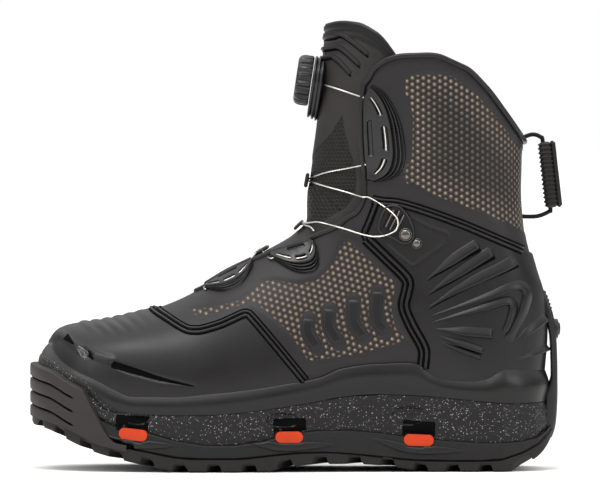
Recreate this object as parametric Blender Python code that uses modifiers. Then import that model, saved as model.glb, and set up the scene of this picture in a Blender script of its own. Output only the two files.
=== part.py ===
"""A left wading boot: a laced upper on a lugged sole, built in millimetres and stored in metres.

The toe points along -X, the lateral side faces -Y, and the sole stands on the plane z = 0.
Every table holds shares of the named sizes below, one row for each section of the last.
"""
import math

import bmesh
import bpy
import numpy as np
from mathutils import Matrix, Vector

MM = 0.001
SOLE_LENGTH = 320.0      # toe bumper to heel
SEAT = 42.0              # foot level over the ground
UPPER_HEIGHT = 211.0     # foot level to the top of the collar
BALL_HALF = 57.5         # half the sole width at the ball
WALL = 2.5               # wall of the upper
GAP = 0.3                # between neighbouring pieces
TONGUE = 3.0
UPPER_INSET = 9.3        # sole edge to the foot of the upper
TOE_ROUND = 55.0
HEEL_ROUND = 45.0
LATERAL, MEDIAL = -1, 1

# share of the length, share of the ball half-width, shift of the centre line in mm
PLAN = [(0.0, 0.90, 9.0), (0.10, 0.93, 8.4), (0.17, 0.965, 7.2), (0.25, 1.0, 4.0), (0.34, 0.985, 1.0),
        (0.44, 0.90, -1.6), (0.53, 0.81, -3.0), (0.625, 0.757, -3.0), (0.72, 0.748, -1.8),
        (0.81, 0.765, -0.8), (0.89, 0.77, -0.2), (1.0, 0.76, 0.0)]

# side-view lines: share of the length, share of the seat height
TREAD_BOTTOM = [(0.0, 0.667), (0.037, 0.595), (0.078, 0.44), (0.125, 0.286), (0.188, 0.155), (0.25, 0.05),
                (0.29, 0.0), (0.44, 0.0), (0.5, 0.083), (0.547, 0.114), (0.609, 0.119), (0.672, 0.095),
                (0.734, 0.024), (0.764, 0.0), (0.908, 0.0), (0.938, 0.095), (0.969, 0.214), (0.991, 0.405),
                (1.0, 0.56)]
TREAD_TOP = [(0.0, 0.833), (0.062, 0.69), (0.103, 0.548), (0.131, 0.44), (0.225, 0.286), (0.272, 0.214),
             (0.312, 0.186), (0.397, 0.186), (0.438, 0.214), (0.481, 0.25), (0.516, 0.271), (0.562, 0.276),
             (0.609, 0.255), (0.672, 0.205), (0.747, 0.157), (0.841, 0.148), (0.891, 0.157), (0.919, 0.21),
             (0.947, 0.286), (0.975, 0.405), (1.0, 0.619)]
FRAME_TOP = [(0.0, 1.048), (0.062, 0.952), (0.125, 0.786), (0.166, 0.643), (0.203, 0.583), (0.244, 0.543),
             (0.291, 0.433), (0.334, 0.39), (0.366, 0.381), (0.406, 0.402), (0.466, 0.488), (0.5, 0.56),
             (0.531, 0.595), (0.584, 0.605), (0.641, 0.6), (0.675, 0.557), (0.706, 0.514), (0.741, 0.488),
             (0.784, 0.462), (0.819, 0.431), (0.872, 0.414), (0.925, 0.424), (0.959, 0.462), (0.984, 0.571),
             (1.0, 0.72)]
BUMPER_END = [(0.0, 1.9), (0.10, 1.2), (0.118, 0.95), (0.136, 0.70), (0.152, 0.50), (0.165, 0.42), (0.184, 0.39)]
RIM = [(0.0, 1.619), (0.034, 1.488), (0.072, 1.314), (0.113, 1.148), (0.142, 0.93), (0.181, 0.857),
       (0.272, 0.819), (0.344, 0.826), (0.419, 0.871), (0.491, 0.945), (0.553, 1.024), (0.588, 1.076),
       (0.656, 1.119), (0.728, 1.105), (0.8, 1.062), (0.872, 1.007), (0.925, 0.983), (1.0, 1.0)]
FOOTBED = [(0.028, 1.048), (0.094, 0.929), (0.141, 0.857), (0.272, 0.775), (0.344, 0.78), (0.419, 0.8),
           (0.491, 0.86), (0.553, 0.92), (0.625, 0.955), (0.728, 0.97), (0.8, 0.955), (0.872, 0.93),
           (0.925, 0.915), (1.0, 0.93)]

# the last as a fan of sections, toe to collar; each runs from a top point to a foot or back point:
# top along, top up, foot along, foot up (None is on the footbed), greatest half-width in shares of
# BALL_HALF, where it lies between foot and top, squareness over the top, throat edge, ridge shift in mm
FAN = [
    (0.037, 0.166, 0.030, None, 0.00, 0.36, 2.3, 2.00, 0.0),
    (0.055, 0.204, 0.044, None, 0.30, 0.36, 2.3, 2.00, 0.0),
    (0.081, 0.217, 0.075, None, 0.60, 0.36, 2.3, 2.00, 0.5),
    (0.125, 0.225, 0.125, None, 0.78, 0.36, 2.25, 2.00, 1.0),
    (0.188, 0.246, 0.194, None, 0.862, 0.34, 2.2, 2.00, 2.0),
    (0.256, 0.277, 0.275, None, 0.885, 0.32, 2.1, 2.00, 3.5),
    (0.319, 0.322, 0.359, None, 0.865, 0.31, 2.0, 1.90, 4.5),
    (0.381, 0.393, 0.447, None, 0.812, 0.32, 2.0, 1.80, 4.5),
    (0.444, 0.450, 0.537, None, 0.750, 0.34, 2.0, 1.745, 4.0),
    (0.494, 0.495, 0.631, None, 0.712, 0.36, 2.0, 1.69, 3.0),
    (0.516, 0.531, 0.734, None, 0.698, 0.37, 2.0, 1.63, 2.0),
    (0.516, 0.569, 0.838, None, 0.700, 0.37, 2.0, 1.575, 1.0),
    (0.517, 0.607, 0.922, None, 0.700, 0.38, 2.0, 1.53, 0.5),
    (0.522, 0.645, 0.971, 0.0, 0.692, 0.40, 2.0, 1.50, 0.0),
    (0.526, 0.687, 0.981, 0.095, 0.684, 0.42, 2.0, 1.43, 0.0),
    (0.531, 0.732, 0.986, 0.204, 0.678, 0.44, 2.05, 1.39, 0.0),
    (0.536, 0.780, 0.981, 0.299, 0.682, 0.45, 2.05, 1.39, 0.0),
    (0.540, 0.832, 0.964, 0.389, 0.705, 0.45, 2.1, 1.395, 0.0),
    (0.544, 0.889, 0.947, 0.493, 0.740, 0.45, 2.1, 1.40, 0.0),
    (0.548, 0.953, 0.941, 0.616, 0.775, 0.45, 2.1, 1.405, 0.0),
    (0.553, 1.024, 0.946, 0.753, 0.800, 0.45, 2.1, 1.41, 0.0)]
HEEL_ROW = 13
HEEL_SQUARE = 0.5        # how much squarer than round the back of the heel is
LAST_ROW = 20
THROAT_START = 5.75
# how far the collar and the tongue rise over the last section: place on it, share of UPPER_HEIGHT
COLLAR_RISE = [(0.0, 0.0), (0.1, 0.056), (0.2, 0.106), (0.3, 0.133), (0.4, 0.133), (0.55, 0.10),
               (0.66, 0.062), (0.74, 0.010), (0.79, -0.045), (1.0, -0.05)]
TONGUE_RISE = [(0.0, 0.0), (0.5, 0.0), (0.56, 0.02), (0.63, 0.07), (0.69, 0.122), (0.735, 0.136),
               (0.80, 0.137), (0.88, 0.118), (0.94, 0.082), (1.0, 0.018)]
RAND_TOP = [(0.0, 0.18), (0.037, 0.166), (0.05, 0.137), (0.062, 0.116), (0.091, 0.088), (0.128, 0.062),
            (0.169, 0.03), (0.197, 0.015), (0.272, 0.015), (0.344, 0.024), (0.419, 0.036), (0.491, 0.053),
            (0.553, 0.071), (0.588, 0.094), (0.621, 0.104), (0.656, 0.11), (0.728, 0.113), (0.747, 0.103),
            (0.762, 0.083), (0.791, 0.064), (0.834, 0.059), (0.871, 0.065), (0.887, 0.079), (0.906, 0.093),
            (0.941, 0.094), (0.975, 0.088), (1.0, 0.085)]


def curve(rows, x, column=1):
    """A smooth line through hand-set rows that never overshoots them."""
    xs = np.array([r[0] for r in rows], float)
    ys = np.array([r[column] for r in rows], float)
    x = np.clip(np.asarray(x, float), xs[0], xs[-1])
    h = np.diff(xs)
    d = np.diff(ys) / h
    m = np.zeros_like(ys)
    m[0], m[-1] = d[0], d[-1]
    for i in range(1, len(xs) - 1):
        if d[i - 1] * d[i] > 0:
            w1, w2 = 2 * h[i] + h[i - 1], h[i] + 2 * h[i - 1]
            m[i] = (w1 + w2) / (w1 / d[i - 1] + w2 / d[i])
    i = np.clip(np.searchsorted(xs, x, side="right") - 1, 0, len(h) - 1)
    t = (x - xs[i]) / h[i]
    return ((1 + 2 * t) * (1 - t) ** 2 * ys[i] + t * (1 - t) ** 2 * h[i] * m[i]
            + t * t * (3 - 2 * t) * ys[i + 1] + t * t * (t - 1) * h[i] * m[i + 1])


def level(rows):
    return lambda s: curve(rows, np.asarray(s, float) / SOLE_LENGTH) * SEAT


tread_bottom, tread_top = level(TREAD_BOTTOM), level(TREAD_TOP)
frame_top, rim, footbed = level(FRAME_TOP), level(RIM), level(FOOTBED)


def bumper_top(s):
    return np.minimum(rim(s) - 0.4, level(BUMPER_END)(s))


def rand_top(s):
    return SEAT + UPPER_HEIGHT * curve(RAND_TOP, np.asarray(s, float) / SOLE_LENGTH)


def centre(s):
    return curve(PLAN, np.asarray(s, float) / SOLE_LENGTH, 2)


def outline(v, side):
    """The sole edge in plan for v from 0 at the toe, over 1 and 2 at the sides, to 3 at the heel."""
    if v <= 1:
        a = v * math.pi / 2
        s, e = TOE_ROUND * (1 - math.cos(a) ** (2 / 2.3)), math.sin(a) ** (2 / 2.3)
    elif v >= 2:
        a = (3 - v) * math.pi / 2
        s, e = SOLE_LENGTH - HEEL_ROUND * (1 - math.cos(a) ** (2 / 2.4)), math.sin(a) ** (2 / 2.4)
    else:
        s, e = TOE_ROUND + (v - 1) * (SOLE_LENGTH - TOE_ROUND - HEEL_ROUND), 1.0
    return s, float(centre(s)) + side * e * BALL_HALF * float(curve(PLAN, s / SOLE_LENGTH))


def inset_point(v, side, inset):
    s, y = outline(v, side)
    if v <= 0 or v >= 3:
        return s + (inset if v <= 0 else -inset), y
    a, b = outline(max(v - 0.004, 0), side), outline(min(v + 0.004, 3), side)
    ds, dy = b[0] - a[0], b[1] - a[1]
    n = math.hypot(ds, dy)
    return s + inset * side * dy / n, y - inset * side * ds / n


EDGE = {}


def half_width(s, inset):
    """Half the width of the sole outline at s, drawn in by the inset."""
    if inset not in EDGE:
        vs = np.linspace(0, 3, 241)
        EDGE[inset] = np.array([(p[0], abs(p[1] - float(centre(p[0]))))
                                for p in (inset_point(v, LATERAL, inset) for v in vs)])
    e = EDGE[inset]
    return np.interp(s, e[:, 0], e[:, 1], left=0.0, right=0.0)


FAN_ROWS = [(i,) + r for i, r in enumerate(FAN)]
FOOT_ROWS = [(i, r[3]) for i, r in enumerate(FAN) if r[3] is not None]


def fan(a, column):
    return curve(FAN_ROWS, a, column + 1)


def surface(a, q, side, rise=COLLAR_RISE):
    """A point of the last: a counts the fan rows, q runs 0 at the foot, 1 at the widest, 2 at the ridge."""
    top_s, top_z = fan(a, 0) * SOLE_LENGTH, SEAT + UPPER_HEIGHT * fan(a, 1)
    tip, end = UPPER_INSET, SOLE_LENGTH - UPPER_INSET
    foot_s = fan(a, 2) * SOLE_LENGTH
    if a < 1:
        foot_s = tip + (FAN[1][2] * SOLE_LENGTH - tip) * (1 - math.cos(a * math.pi / 2))
    elif HEEL_ROW - 1 < a <= HEEL_ROW:
        start = FAN[HEEL_ROW - 1][2] * SOLE_LENGTH
        foot_s = start + (end - start) * math.sin((a - HEEL_ROW + 1) * math.pi / 2)
    if a <= HEEL_ROW:
        foot_z = float(footbed(foot_s)) + 2 * GAP
        low = float(half_width(foot_s, UPPER_INSET)) if 0 < a < HEEL_ROW else 0.0
    else:
        foot_z = SEAT + UPPER_HEIGHT * float(curve(FOOT_ROWS, a))
        foot_z += 2 * GAP * max(0.0, 1 - (a - HEEL_ROW)) + (float(footbed(end)) - SEAT) * max(0, 1 - (a - HEEL_ROW))
        low = 0.0
    wide = max(1.03 * low, BALL_HALF * float(fan(a, 4)))
    mid, square = float(fan(a, 5)), float(fan(a, 6))
    if q <= 1:
        x = q * math.pi / 2
        k = (wide - low) / wide if wide > 0 else 0
        p = 2 / (2 + HEEL_SQUARE * min(1.0, max(0.0, a - 11.5)))
        h = mid * ((1 - k) * q + k * (1 - max(math.cos(x), 0.0) ** p))
        w = low + (wide - low) * math.sin(x) ** p
    else:
        x = min(q - 1, 1.0) * math.pi / 2
        h = mid + (1 - mid) * math.sin(x) ** (2 / square)
        w = wide * max(math.cos(x), 0.0) ** (2 / square) if q < 2 else 0.0
    s = foot_s + (top_s - foot_s) * h
    z = foot_z + (top_z - foot_z) * h
    grow = max(0.0, (a - 12.0) / (LAST_ROW - 12.0))
    z += UPPER_HEIGHT * float(curve(rise, h)) * grow ** 1.6
    y = float(centre(s)) + side * w + float(fan(a, 8)) * h * h
    return np.array([float(s), y, float(z)])


def edge(a):
    """Where the throat edge lies on row a."""
    if a <= THROAT_START:
        return 2.0
    return float(fan(a, 7)) + max(0.0, (6.3 - a) / 0.55) ** 2 * 0.12 * (1 if a < 6.3 else 0)


def find(s, z):
    """The row and place on the last that the side view shows at (s, z)."""
    best, a0, q0, ra, rq = None, 10.0, 1.0, 10.0, 1.0
    for _ in range(9):
        for a in np.linspace(max(a0 - ra, 0), min(a0 + ra, LAST_ROW), 15):
            for q in np.linspace(max(q0 - rq, 0), min(q0 + rq, 2), 13):
                p = surface(a, q, LATERAL)
                d = (p[0] - s) ** 2 + (p[2] - z) ** 2
                if best is None or d < best[0]:
                    best = (d, a, q)
        a0, q0, ra, rq = best[1], best[2], ra * 0.35, rq * 0.35
    return a0, q0


def normals(points, faces):
    out = np.zeros_like(points)
    for f in faces:
        p = points[list(f)]
        n = np.zeros(3)
        for i in range(len(f)):
            n += np.cross(p[i], p[(i + 1) % len(f)])
        for i in f:
            out[i] += n
    return out / np.maximum(np.linalg.norm(out, axis=1), 1e-9)[:, None]


MATERIALS = {   # red, green, blue, roughness, metallic
    "tread_rubber": (0.030, 0.028, 0.027, 0.75, 0.0), "frame_rubber": (0.042, 0.039, 0.038, 0.6, 0.0),
    "foam": (0.036, 0.034, 0.034, 0.85, 0.0), "rand_rubber": (0.028, 0.026, 0.026, 0.55, 0.0),
    "mesh_fabric": (0.050, 0.046, 0.043, 0.9, 0.0), "tongue_fabric": (0.040, 0.037, 0.036, 0.9, 0.0),
    "film": (0.034, 0.031, 0.031, 0.5, 0.0), "lining": (0.06, 0.06, 0.06, 0.95, 0.0),
    "guide_plastic": (0.025, 0.024, 0.024, 0.45, 0.0), "tab_plastic": (0.76, 0.09, 0.02, 0.4, 0.0),
    "dark_steel": (0.05, 0.05, 0.05, 0.35, 1.0), "wire_steel": (0.42, 0.42, 0.41, 0.3, 1.0),
    "webbing": (0.03, 0.029, 0.029, 0.9, 0.0)}


def material(key):
    if key not in bpy.data.materials:
        m = bpy.data.materials.new(key)
        m.use_nodes = True
        red, green, blue, rough, metal = MATERIALS[key]
        shader = m.node_tree.nodes["Principled BSDF"]
        shader.inputs["Base Color"].default_value = (red, green, blue, 1.0)
        shader.inputs["Roughness"].default_value = rough
        shader.inputs["Metallic"].default_value = metal
    return bpy.data.materials[key]


def place(ob, finish):
    """File an object with the boot, or with the cutters when it has no finish."""
    group = BOOT if finish else CUTTERS
    for c in list(ob.users_collection):
        c.objects.unlink(ob)
    group.objects.link(ob)
    if finish:
        ob.data.materials.clear()
        ob.data.materials.append(material(finish))
    else:
        ob.hide_render = True
        ob.display_type = "WIRE"
    return ob


def solid(name, points, faces, finish=None):
    mesh = bpy.data.meshes.new(name)
    mesh.from_pydata([tuple(float(c) * MM for c in p) for p in points], [], [tuple(f) for f in faces])
    mesh.update()
    return place(bpy.data.objects.new(name, mesh), finish)


def skin(name, points, faces, offset, thickness, finish=None):
    """An open surface moved out by the offset and given a thickness, inward when it is negative."""
    ob = solid(name, points + normals(points, faces) * offset, faces, finish)
    m = ob.modifiers.new("wall", "SOLIDIFY")
    m.thickness, m.offset = abs(thickness) * MM, math.copysign(1.0, thickness)
    return ob


def sheet(rows, places, ridge, rise=COLLAR_RISE, sides=(LATERAL, MEDIAL)):
    """The open surface over both sides: shared points on the toe line, the ridge and the back."""
    index, points, faces = {}, [], []

    def add(i, j, side):
        a, q = rows[i], places(rows[i])[j]
        shared = (i == 0 and a == 0) or (q >= 2 - 1e-9 and ridge(a)) or (q <= 1e-9 and a >= HEEL_ROW)
        key = (i, j, 0 if shared else side)
        if key not in index:
            p = surface(a, q, side, rise)
            if shared:
                p = (surface(a, q, LATERAL, rise) + surface(a, q, MEDIAL, rise)) / 2
            index[key] = len(points)
            points.append(p)
        return index[key]

    for side in sides:
        for i in range(len(rows) - 1):
            for j in range(len(places(rows[0])) - 1):
                f = [add(i, j, side), add(i + 1, j, side), add(i + 1, j + 1, side), add(i, j + 1, side)]
                f = [v for k, v in enumerate(f) if v != f[k - 1]]
                for t in ((0, 1, 2), (0, 2, 3)) if len(f) == 4 else ((0, 1, 2),):
                    g = tuple(f[k] for k in t)
                    if len(set(g)) == 3:
                        faces.append(g if side == LATERAL else g[::-1])
    return np.array(points), faces, index


def settle(ob):
    """Replace an object's modifiers by the mesh that they give."""
    bpy.context.view_layer.update()
    done = bpy.data.meshes.new_from_object(ob.evaluated_get(bpy.context.evaluated_depsgraph_get()))
    ob.modifiers.clear()
    ob.data = done
    return ob


def cut(target, tool, how="DIFFERENCE", folded=False):
    """One Boolean, settled at once so that the next can follow it."""
    m = target.modifiers.new("cut", "BOOLEAN")
    m.operation, m.object, m.solver, m.use_self = how, tool, "EXACT", folded
    settle(target)
    bpy.data.objects.remove(tool)
    return target


for ob in list(bpy.data.objects):
    bpy.data.objects.remove(ob)
BOOT = bpy.data.collections.new("wading_boot")
CUTTERS = bpy.data.collections.new("cutters")
for group in (BOOT, CUTTERS):
    bpy.context.scene.collection.children.link(group)

# sections kept for the solids: closer where the toe, the throat end and the heel turn
ROWS = [0, 0.3, 0.6, 1, 1.5, 2, 3, 4, 5, THROAT_START, 6, 6.4, 7, 8, 8.6, 9.2, 10, 11, 12, 12.4, 12.75,
        13, 13.6, 14.3, 15, 16, 17.3, 18.6, 20]
LOW = [0, 0.22, 0.45, 0.7, 1.0]


def upper_places(a):
    e = edge(a)
    return LOW + [1 + (e - 1) * t for t in (0.2, 0.4, 0.6, 0.8, 1.0)]


def full_places(a):
    return LOW + [1.2, 1.4, 1.6, 1.8, 2.0]


# upper: one wall, open at the collar, the throat and underneath
pts, fcs, idx = sheet(ROWS, upper_places, lambda a: a <= THROAT_START)
upper = settle(skin("upper", pts, fcs, 0.0, -WALL, "mesh_fabric"))
for v in upper.data.vertices:
    v.co.z = max(v.co.z, (float(footbed(v.co.x / MM)) + 2 * GAP) * MM)

# envelope: the last filled and one gap larger, for fitting the sole pieces around it
pts, fcs, idx = sheet(ROWS, full_places, lambda a: True)
n = normals(pts, fcs)
grown = pts + n * 2 * GAP
for (i, j, side), k in idx.items():
    if j == 0 and ROWS[i] <= HEEL_ROW:
        grown[k][2] = pts[k][2] - GAP
caps = []
last = len(ROWS) - 1
heel = ROWS.index(HEEL_ROW)


def take(i, j, side):
    return idx[(i, j, side)] if (i, j, side) in idx else idx[(i, j, 0)]


for i in range(heel):
    f = [take(i, 0, MEDIAL), take(i + 1, 0, MEDIAL), take(i + 1, 0, LATERAL), take(i, 0, LATERAL)]
    f = [v for k, v in enumerate(f) if v != f[k - 1]]
    caps.append(tuple(f))
for j in range(len(full_places(0)) - 1):
    f = [take(last, j, LATERAL), take(last, j, MEDIAL), take(last, j + 1, MEDIAL), take(last, j + 1, LATERAL)]
    f = [v for k, v in enumerate(f) if v != f[k - 1]]
    caps.append(tuple(f))
ENVELOPE = (grown, fcs + caps)


def envelope():
    return solid("envelope", ENVELOPE[0], ENVELOPE[1])


STATIONS = [0, 0.09, 0.22, 0.36, 0.5, 0.64, 0.78, 0.9, 1.0, 1.08, 1.16, 1.24, 1.32, 1.4, 1.48, 1.56, 1.64,
            1.73, 1.82, 1.91, 2.0, 2.16, 2.36, 2.56, 2.76, 2.9, 3]


def slab(name, profile, finish=None, stations=STATIONS):
    """A solid round the sole outline; the profile lists inset and height from bottom to top."""
    index, points, faces = {}, [], []

    def add(i, k, side):
        v = stations[i]
        key = (i, k, 0 if v in (0, 3) else side)
        if key not in index:
            inset, height = profile[k]
            s0 = outline(v, side)[0]
            s, y = inset_point(v, side, float(inset(s0)) if callable(inset) else inset)
            index[key] = len(points)
            points.append((s, y, float(height(s))))
        return index[key]

    top = len(profile) - 1
    for i in range(len(stations) - 1):
        for side in (LATERAL, MEDIAL):
            for k in range(top):
                f = [add(i, k, side), add(i + 1, k, side), add(i + 1, k + 1, side), add(i, k + 1, side)]
                faces.append(f if side == LATERAL else f[::-1])
        faces.append([add(i, 0, MEDIAL), add(i + 1, 0, MEDIAL), add(i + 1, 0, LATERAL), add(i, 0, LATERAL)])
        faces.append([add(i, top, LATERAL), add(i + 1, top, LATERAL), add(i + 1, top, MEDIAL), add(i, top, MEDIAL)])
    clean = []
    for f in faces:
        f = [v for k, v in enumerate(f) if v != f[k - 1]]
        if len(set(f)) >= 3:
            clean.append(tuple(f))
    return solid(name, points, clean, finish)


def band(name, stations, corners):
    """A closed strip along the outline; corners give inset and height, walked once round the section."""
    points, faces = [], []
    count = len(corners)
    for v, side in stations:
        for inset, height in corners:
            s, y = inset_point(v, side, inset)
            points.append((s, y, float(height(s))))
    for i in range(len(stations) - 1):
        for k in range(count):
            m = (k + 1) % count
            faces.append((i * count + k, i * count + m, (i + 1) * count + m, (i + 1) * count + k))
    faces.append(tuple(range(count))[::-1])
    faces.append(tuple((len(stations) - 1) * count + k for k in range(count)))
    return outward(solid(name, points, faces))


def outward(ob):
    """Turn all faces out."""
    bm = bmesh.new()
    bm.from_mesh(ob.data)
    bmesh.ops.recalc_face_normals(bm, faces=bm.faces)
    if bm.calc_volume(signed=True) < 0:
        bmesh.ops.reverse_faces(bm, faces=bm.faces)
    bm.to_mesh(ob.data)
    bm.free()
    return ob


TOE_STRIP = [1.02, 0.94, 0.84, 0.72, 0.6, 0.46, 0.32, 0.16, 0]


def bumper(name, grow):
    strip = [TOE_STRIP[0] + grow / 15] + TOE_STRIP[1:]
    strip = [(v, LATERAL) for v in strip] + [(v, MEDIAL) for v in strip[-2::-1]]
    return band(name, strip, [
        (-grow, lambda s: tread_top(s) - 1.6 - grow), (-grow, lambda s: bumper_top(s) - 1.2 + grow),
        (1.2 - grow, lambda s: bumper_top(s) + grow), (6.0 + grow, lambda s: bumper_top(s) + grow),
        (6.0 + grow, lambda s: tread_top(s) - 1.6 - grow)])


# outsole: tread plate, toe bumper and lugs in one piece
outsole = slab("outsole", [(0.8, lambda s: tread_top(s) - 2.6), (0.0, lambda s: tread_top(s) - 2.0),
                           (0.0, lambda s: tread_top(s) - 2.2 * GAP)], "tread_rubber")
cut(outsole, bumper("bumper", 0.0), "UNION")


def block(name, corners, top, bottom, taper):
    """A block whose plan corners run from a top height to a smaller foot."""
    c = np.mean(np.array(corners), axis=0)
    points = [(s, y, float(top(s))) for s, y in corners]
    points += [(c[0] + (s - c[0]) * taper, c[1] + (y - c[1]) * taper, float(bottom(c[0] + (s - c[0]) * taper)))
               for s, y in corners]
    k = len(corners)
    faces = [tuple(range(k)), tuple(range(2 * k - 1, k - 1, -1))]
    faces += [(i, i + k, (i + 1) % k + k, (i + 1) % k) for i in range(k)]
    return outward(solid(name, points, faces))


# edge lugs: start and end as shares of the length, reach inward in mm
LUGS = [(0.022, 0.053, 15), (0.059, 0.10, 17), (0.109, 0.131, 17), (0.14, 0.186, 20), (0.21, 0.257, 21),
        (0.263, 0.315, 22), (0.345, 0.398, 22), (0.404, 0.446, 20), (0.477, 0.54, 18), (0.549, 0.591, 17),
        (0.627, 0.661, 17), (0.692, 0.746, 18), (0.763, 0.82, 20), (0.832, 0.889, 20), (0.897, 0.94, 18),
        (0.948, 0.982, 15)]


def place_of(s):
    """The outline place at length s."""
    lo, hi = 0.0, 3.0
    for _ in range(30):
        mid = (lo + hi) / 2
        if outline(mid, LATERAL)[0] < s:
            lo = mid
        else:
            hi = mid
    return lo


n_lug = 0
for side in (LATERAL, MEDIAL):
    for k, (s1, s2, reach) in enumerate(LUGS):
        v1, v2 = place_of(s1 * SOLE_LENGTH), place_of(s2 * SOLE_LENGTH)
        lean = 0.12 * reach * (-1 if 0.2 < s1 < 0.6 else 1)
        outer = [inset_point(v, side, 0.25) for v in (v1, (v1 + v2) / 2, v2)]
        i1, i2 = inset_point(v1, side, reach), inset_point(v2, side, reach - 2)
        c = [outer[0], outer[1], outer[2], (i2[0] + lean, i2[1]), (i1[0] + lean, i1[1])]
        cut(outsole, block("lug", c, lambda s: tread_top(s) - 1.9, tread_bottom, 0.9), "UNION")
        n_lug += 1
# middle lugs: centre along, half-length, half-width in mm
for s0, hl, hw in [(0.10, 6, 9), (0.165, 7, 13), (0.235, 7, 14), (0.305, 7, 14), (0.372, 7, 13), (0.43, 6, 11),
                   (0.80, 6, 10), (0.862, 6, 11), (0.92, 5, 9)]:
    s = s0 * SOLE_LENGTH
    y = float(centre(s))
    c = [(s - hl, y - hw), (s + hl * 0.4, y - hw), (s + hl, y), (s + hl * 0.4, y + hw), (s - hl, y + hw),
         (s - hl * 0.4, y)]
    cut(outsole, block("lug", c, lambda s: tread_top(s) - 1.9, tread_bottom, 0.88), "UNION")

# the frame and the foam midsole above it
frame = slab("outsole_frame", [(1.8, lambda s: tread_top(s)), (0.9, lambda s: tread_top(s) + 1.2),
                               (1.0, lambda s: frame_top(s) - 1.0), (2.2, frame_top)], "frame_rubber")
midsole = slab("midsole", [(3.4, lambda s: frame_top(s) + GAP),
                           (2.6, lambda s: frame_top(s) + 0.25 * (rim(s) - frame_top(s))),
                           (3.6, lambda s: frame_top(s) + 0.75 * (rim(s) - frame_top(s))),
                           (4.6, rim)], "foam")
for ob in (frame, midsole):
    cut(ob, bumper("bumper_room", GAP))

# lock tabs: centre along, centre up, half-length and tilt; a pocket for each and a scoop over it
TAB_RADIUS, TAB_DEPTH = 3.6, 5.6
TABS = [(0.197, 0.548, 9.0, -6.0), (0.495, 0.51, 8.5, 0.0), (0.741, 0.462, 9.2, -2.0)]
SCOOPS = [(0.20, 0.80, 10.0, 4.6), (0.488, 0.77, 13.0, 5.0), (0.724, 0.83, 12.0, 6.4)]


def bar(name, s, z, side, half, thick, depth_in, depth_out, tilt, finish=None):
    """A rounded bar along the sole edge."""
    v = place_of(s)
    a, b = inset_point(v, side, 0.0), inset_point(v, side, 10.0)
    inward = np.array([b[0] - a[0], b[1] - a[1], 0]) / 10.0
    along = np.array([-inward[1] * side, inward[0] * side, 0.0])
    along = along if along[0] > 0 else -along
    t = math.radians(tilt)
    u = along * math.cos(t) + np.array([0, 0, 1]) * math.sin(t)
    w = np.cross(inward, u)
    base = np.array([a[0], a[1], z])
    ring = []
    for k in range(12):
        ang = 2 * math.pi * (k + 0.5) / 12
        c, d = math.cos(ang), math.sin(ang)
        ring.append(u * (half - thick) * (1 if c > 0 else -1) + u * thick * c + w * thick * d)
    points = [base + r + inward * depth_out for r in ring] + [base + r + inward * depth_in for r in ring]
    faces = [tuple(range(12)), tuple(range(23, 11, -1))] + [(i, (i + 1) % 12, (i + 1) % 12 + 12, i + 12)
                                                           for i in range(12)]
    return outward(solid(name, points, faces, finish))


def tool_shape(name, kind, where, size, finish=None, turn=None, segments=24):
    """A primitive with its own location and turn; size is length, width and height in mm."""
    bm = bmesh.new()
    if kind == "ball":
        bmesh.ops.create_uvsphere(bm, u_segments=12, v_segments=6, radius=0.5)
    elif kind == "box":
        bmesh.ops.create_cube(bm, size=1.0)
    else:
        bmesh.ops.create_cone(bm, cap_ends=True, segments=segments, radius1=0.5, radius2=0.5, depth=1.0)
    bmesh.ops.scale(bm, vec=tuple(c * MM for c in size), verts=bm.verts)
    if turn is not None:
        bmesh.ops.transform(bm, matrix=turn, verts=bm.verts)
    bmesh.ops.translate(bm, vec=tuple(float(c) * MM for c in where), verts=bm.verts)
    mesh = bpy.data.meshes.new(name)
    bm.to_mesh(mesh)
    bm.free()
    return place(bpy.data.objects.new(name, mesh), finish)


SIDES = ((LATERAL, "lateral"), (MEDIAL, "medial"))
for side, word in SIDES:
    for k, (ts, tz, half, tilt) in enumerate(TABS):
        s, z = ts * SOLE_LENGTH, tz * SEAT
        for ob in (frame, midsole):
            cut(ob, bar("pocket", s, z, side, half + GAP, TAB_RADIUS + GAP, TAB_DEPTH + GAP, -3.0, tilt))
        bar("lock_tab_%s_%d" % (word, k + 1), s, z, side, half, TAB_RADIUS, TAB_DEPTH, 0.7, tilt, "tab_plastic")
        ss, sz, length, tall = SCOOPS[k]
        p = inset_point(place_of(ss * SOLE_LENGTH), side, 1.2)
        cut(midsole, tool_shape("scoop", "ball", (p[0], p[1], sz * SEAT), (2 * length, 10.0, 2 * tall)))
cut(midsole, envelope())

# rand: the rubber band where the upper meets the sole
rand = slab("rand", [(4.3, lambda s: rim(s) + GAP), (4.2, lambda s: rim(s) + 0.6 * (rand_top(s) - rim(s))),
                     (4.8, lambda s: rand_top(s) - 2.2),
                     (lambda s: 6.4 + 1.6 * max(0.0, 1 - s / 50), rand_top)], "rand_rubber")
cut(rand, envelope())

# insole: a thin footbed inside the upper
slab("insole", [(15.6, lambda s: footbed(s) + 3 * GAP), (15.2, lambda s: footbed(s) + 2.4),
                (15.6, lambda s: footbed(s) + 4.2)], "lining")

# tongue: the same last, one wall and a gap further in
TONGUE_ROWS = [5.3, THROAT_START, 6, 6.4, 7, 8, 8.6, 9.2, 10, 11, 12, 13, 15, 17.3, 18.6, 20]
TONGUE_GAP = 0.9


def tongue_places(a):
    lap = 0.16 if a < 16 else 0.16 + 0.04 * (a - 16) / 4
    e = min(edge(a), 1.9) - lap
    return [e + (2 - e) * t for t in (0, 0.25, 0.5, 0.75, 1.0)]


pts, fcs, idx = sheet(TONGUE_ROWS, tongue_places, lambda a: True, TONGUE_RISE)
TONGUE_FACE = -WALL - TONGUE_GAP
skin("tongue", pts, fcs, TONGUE_FACE, -TONGUE, "tongue_fabric")
TONGUE_SHEET = (pts, fcs)


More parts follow.
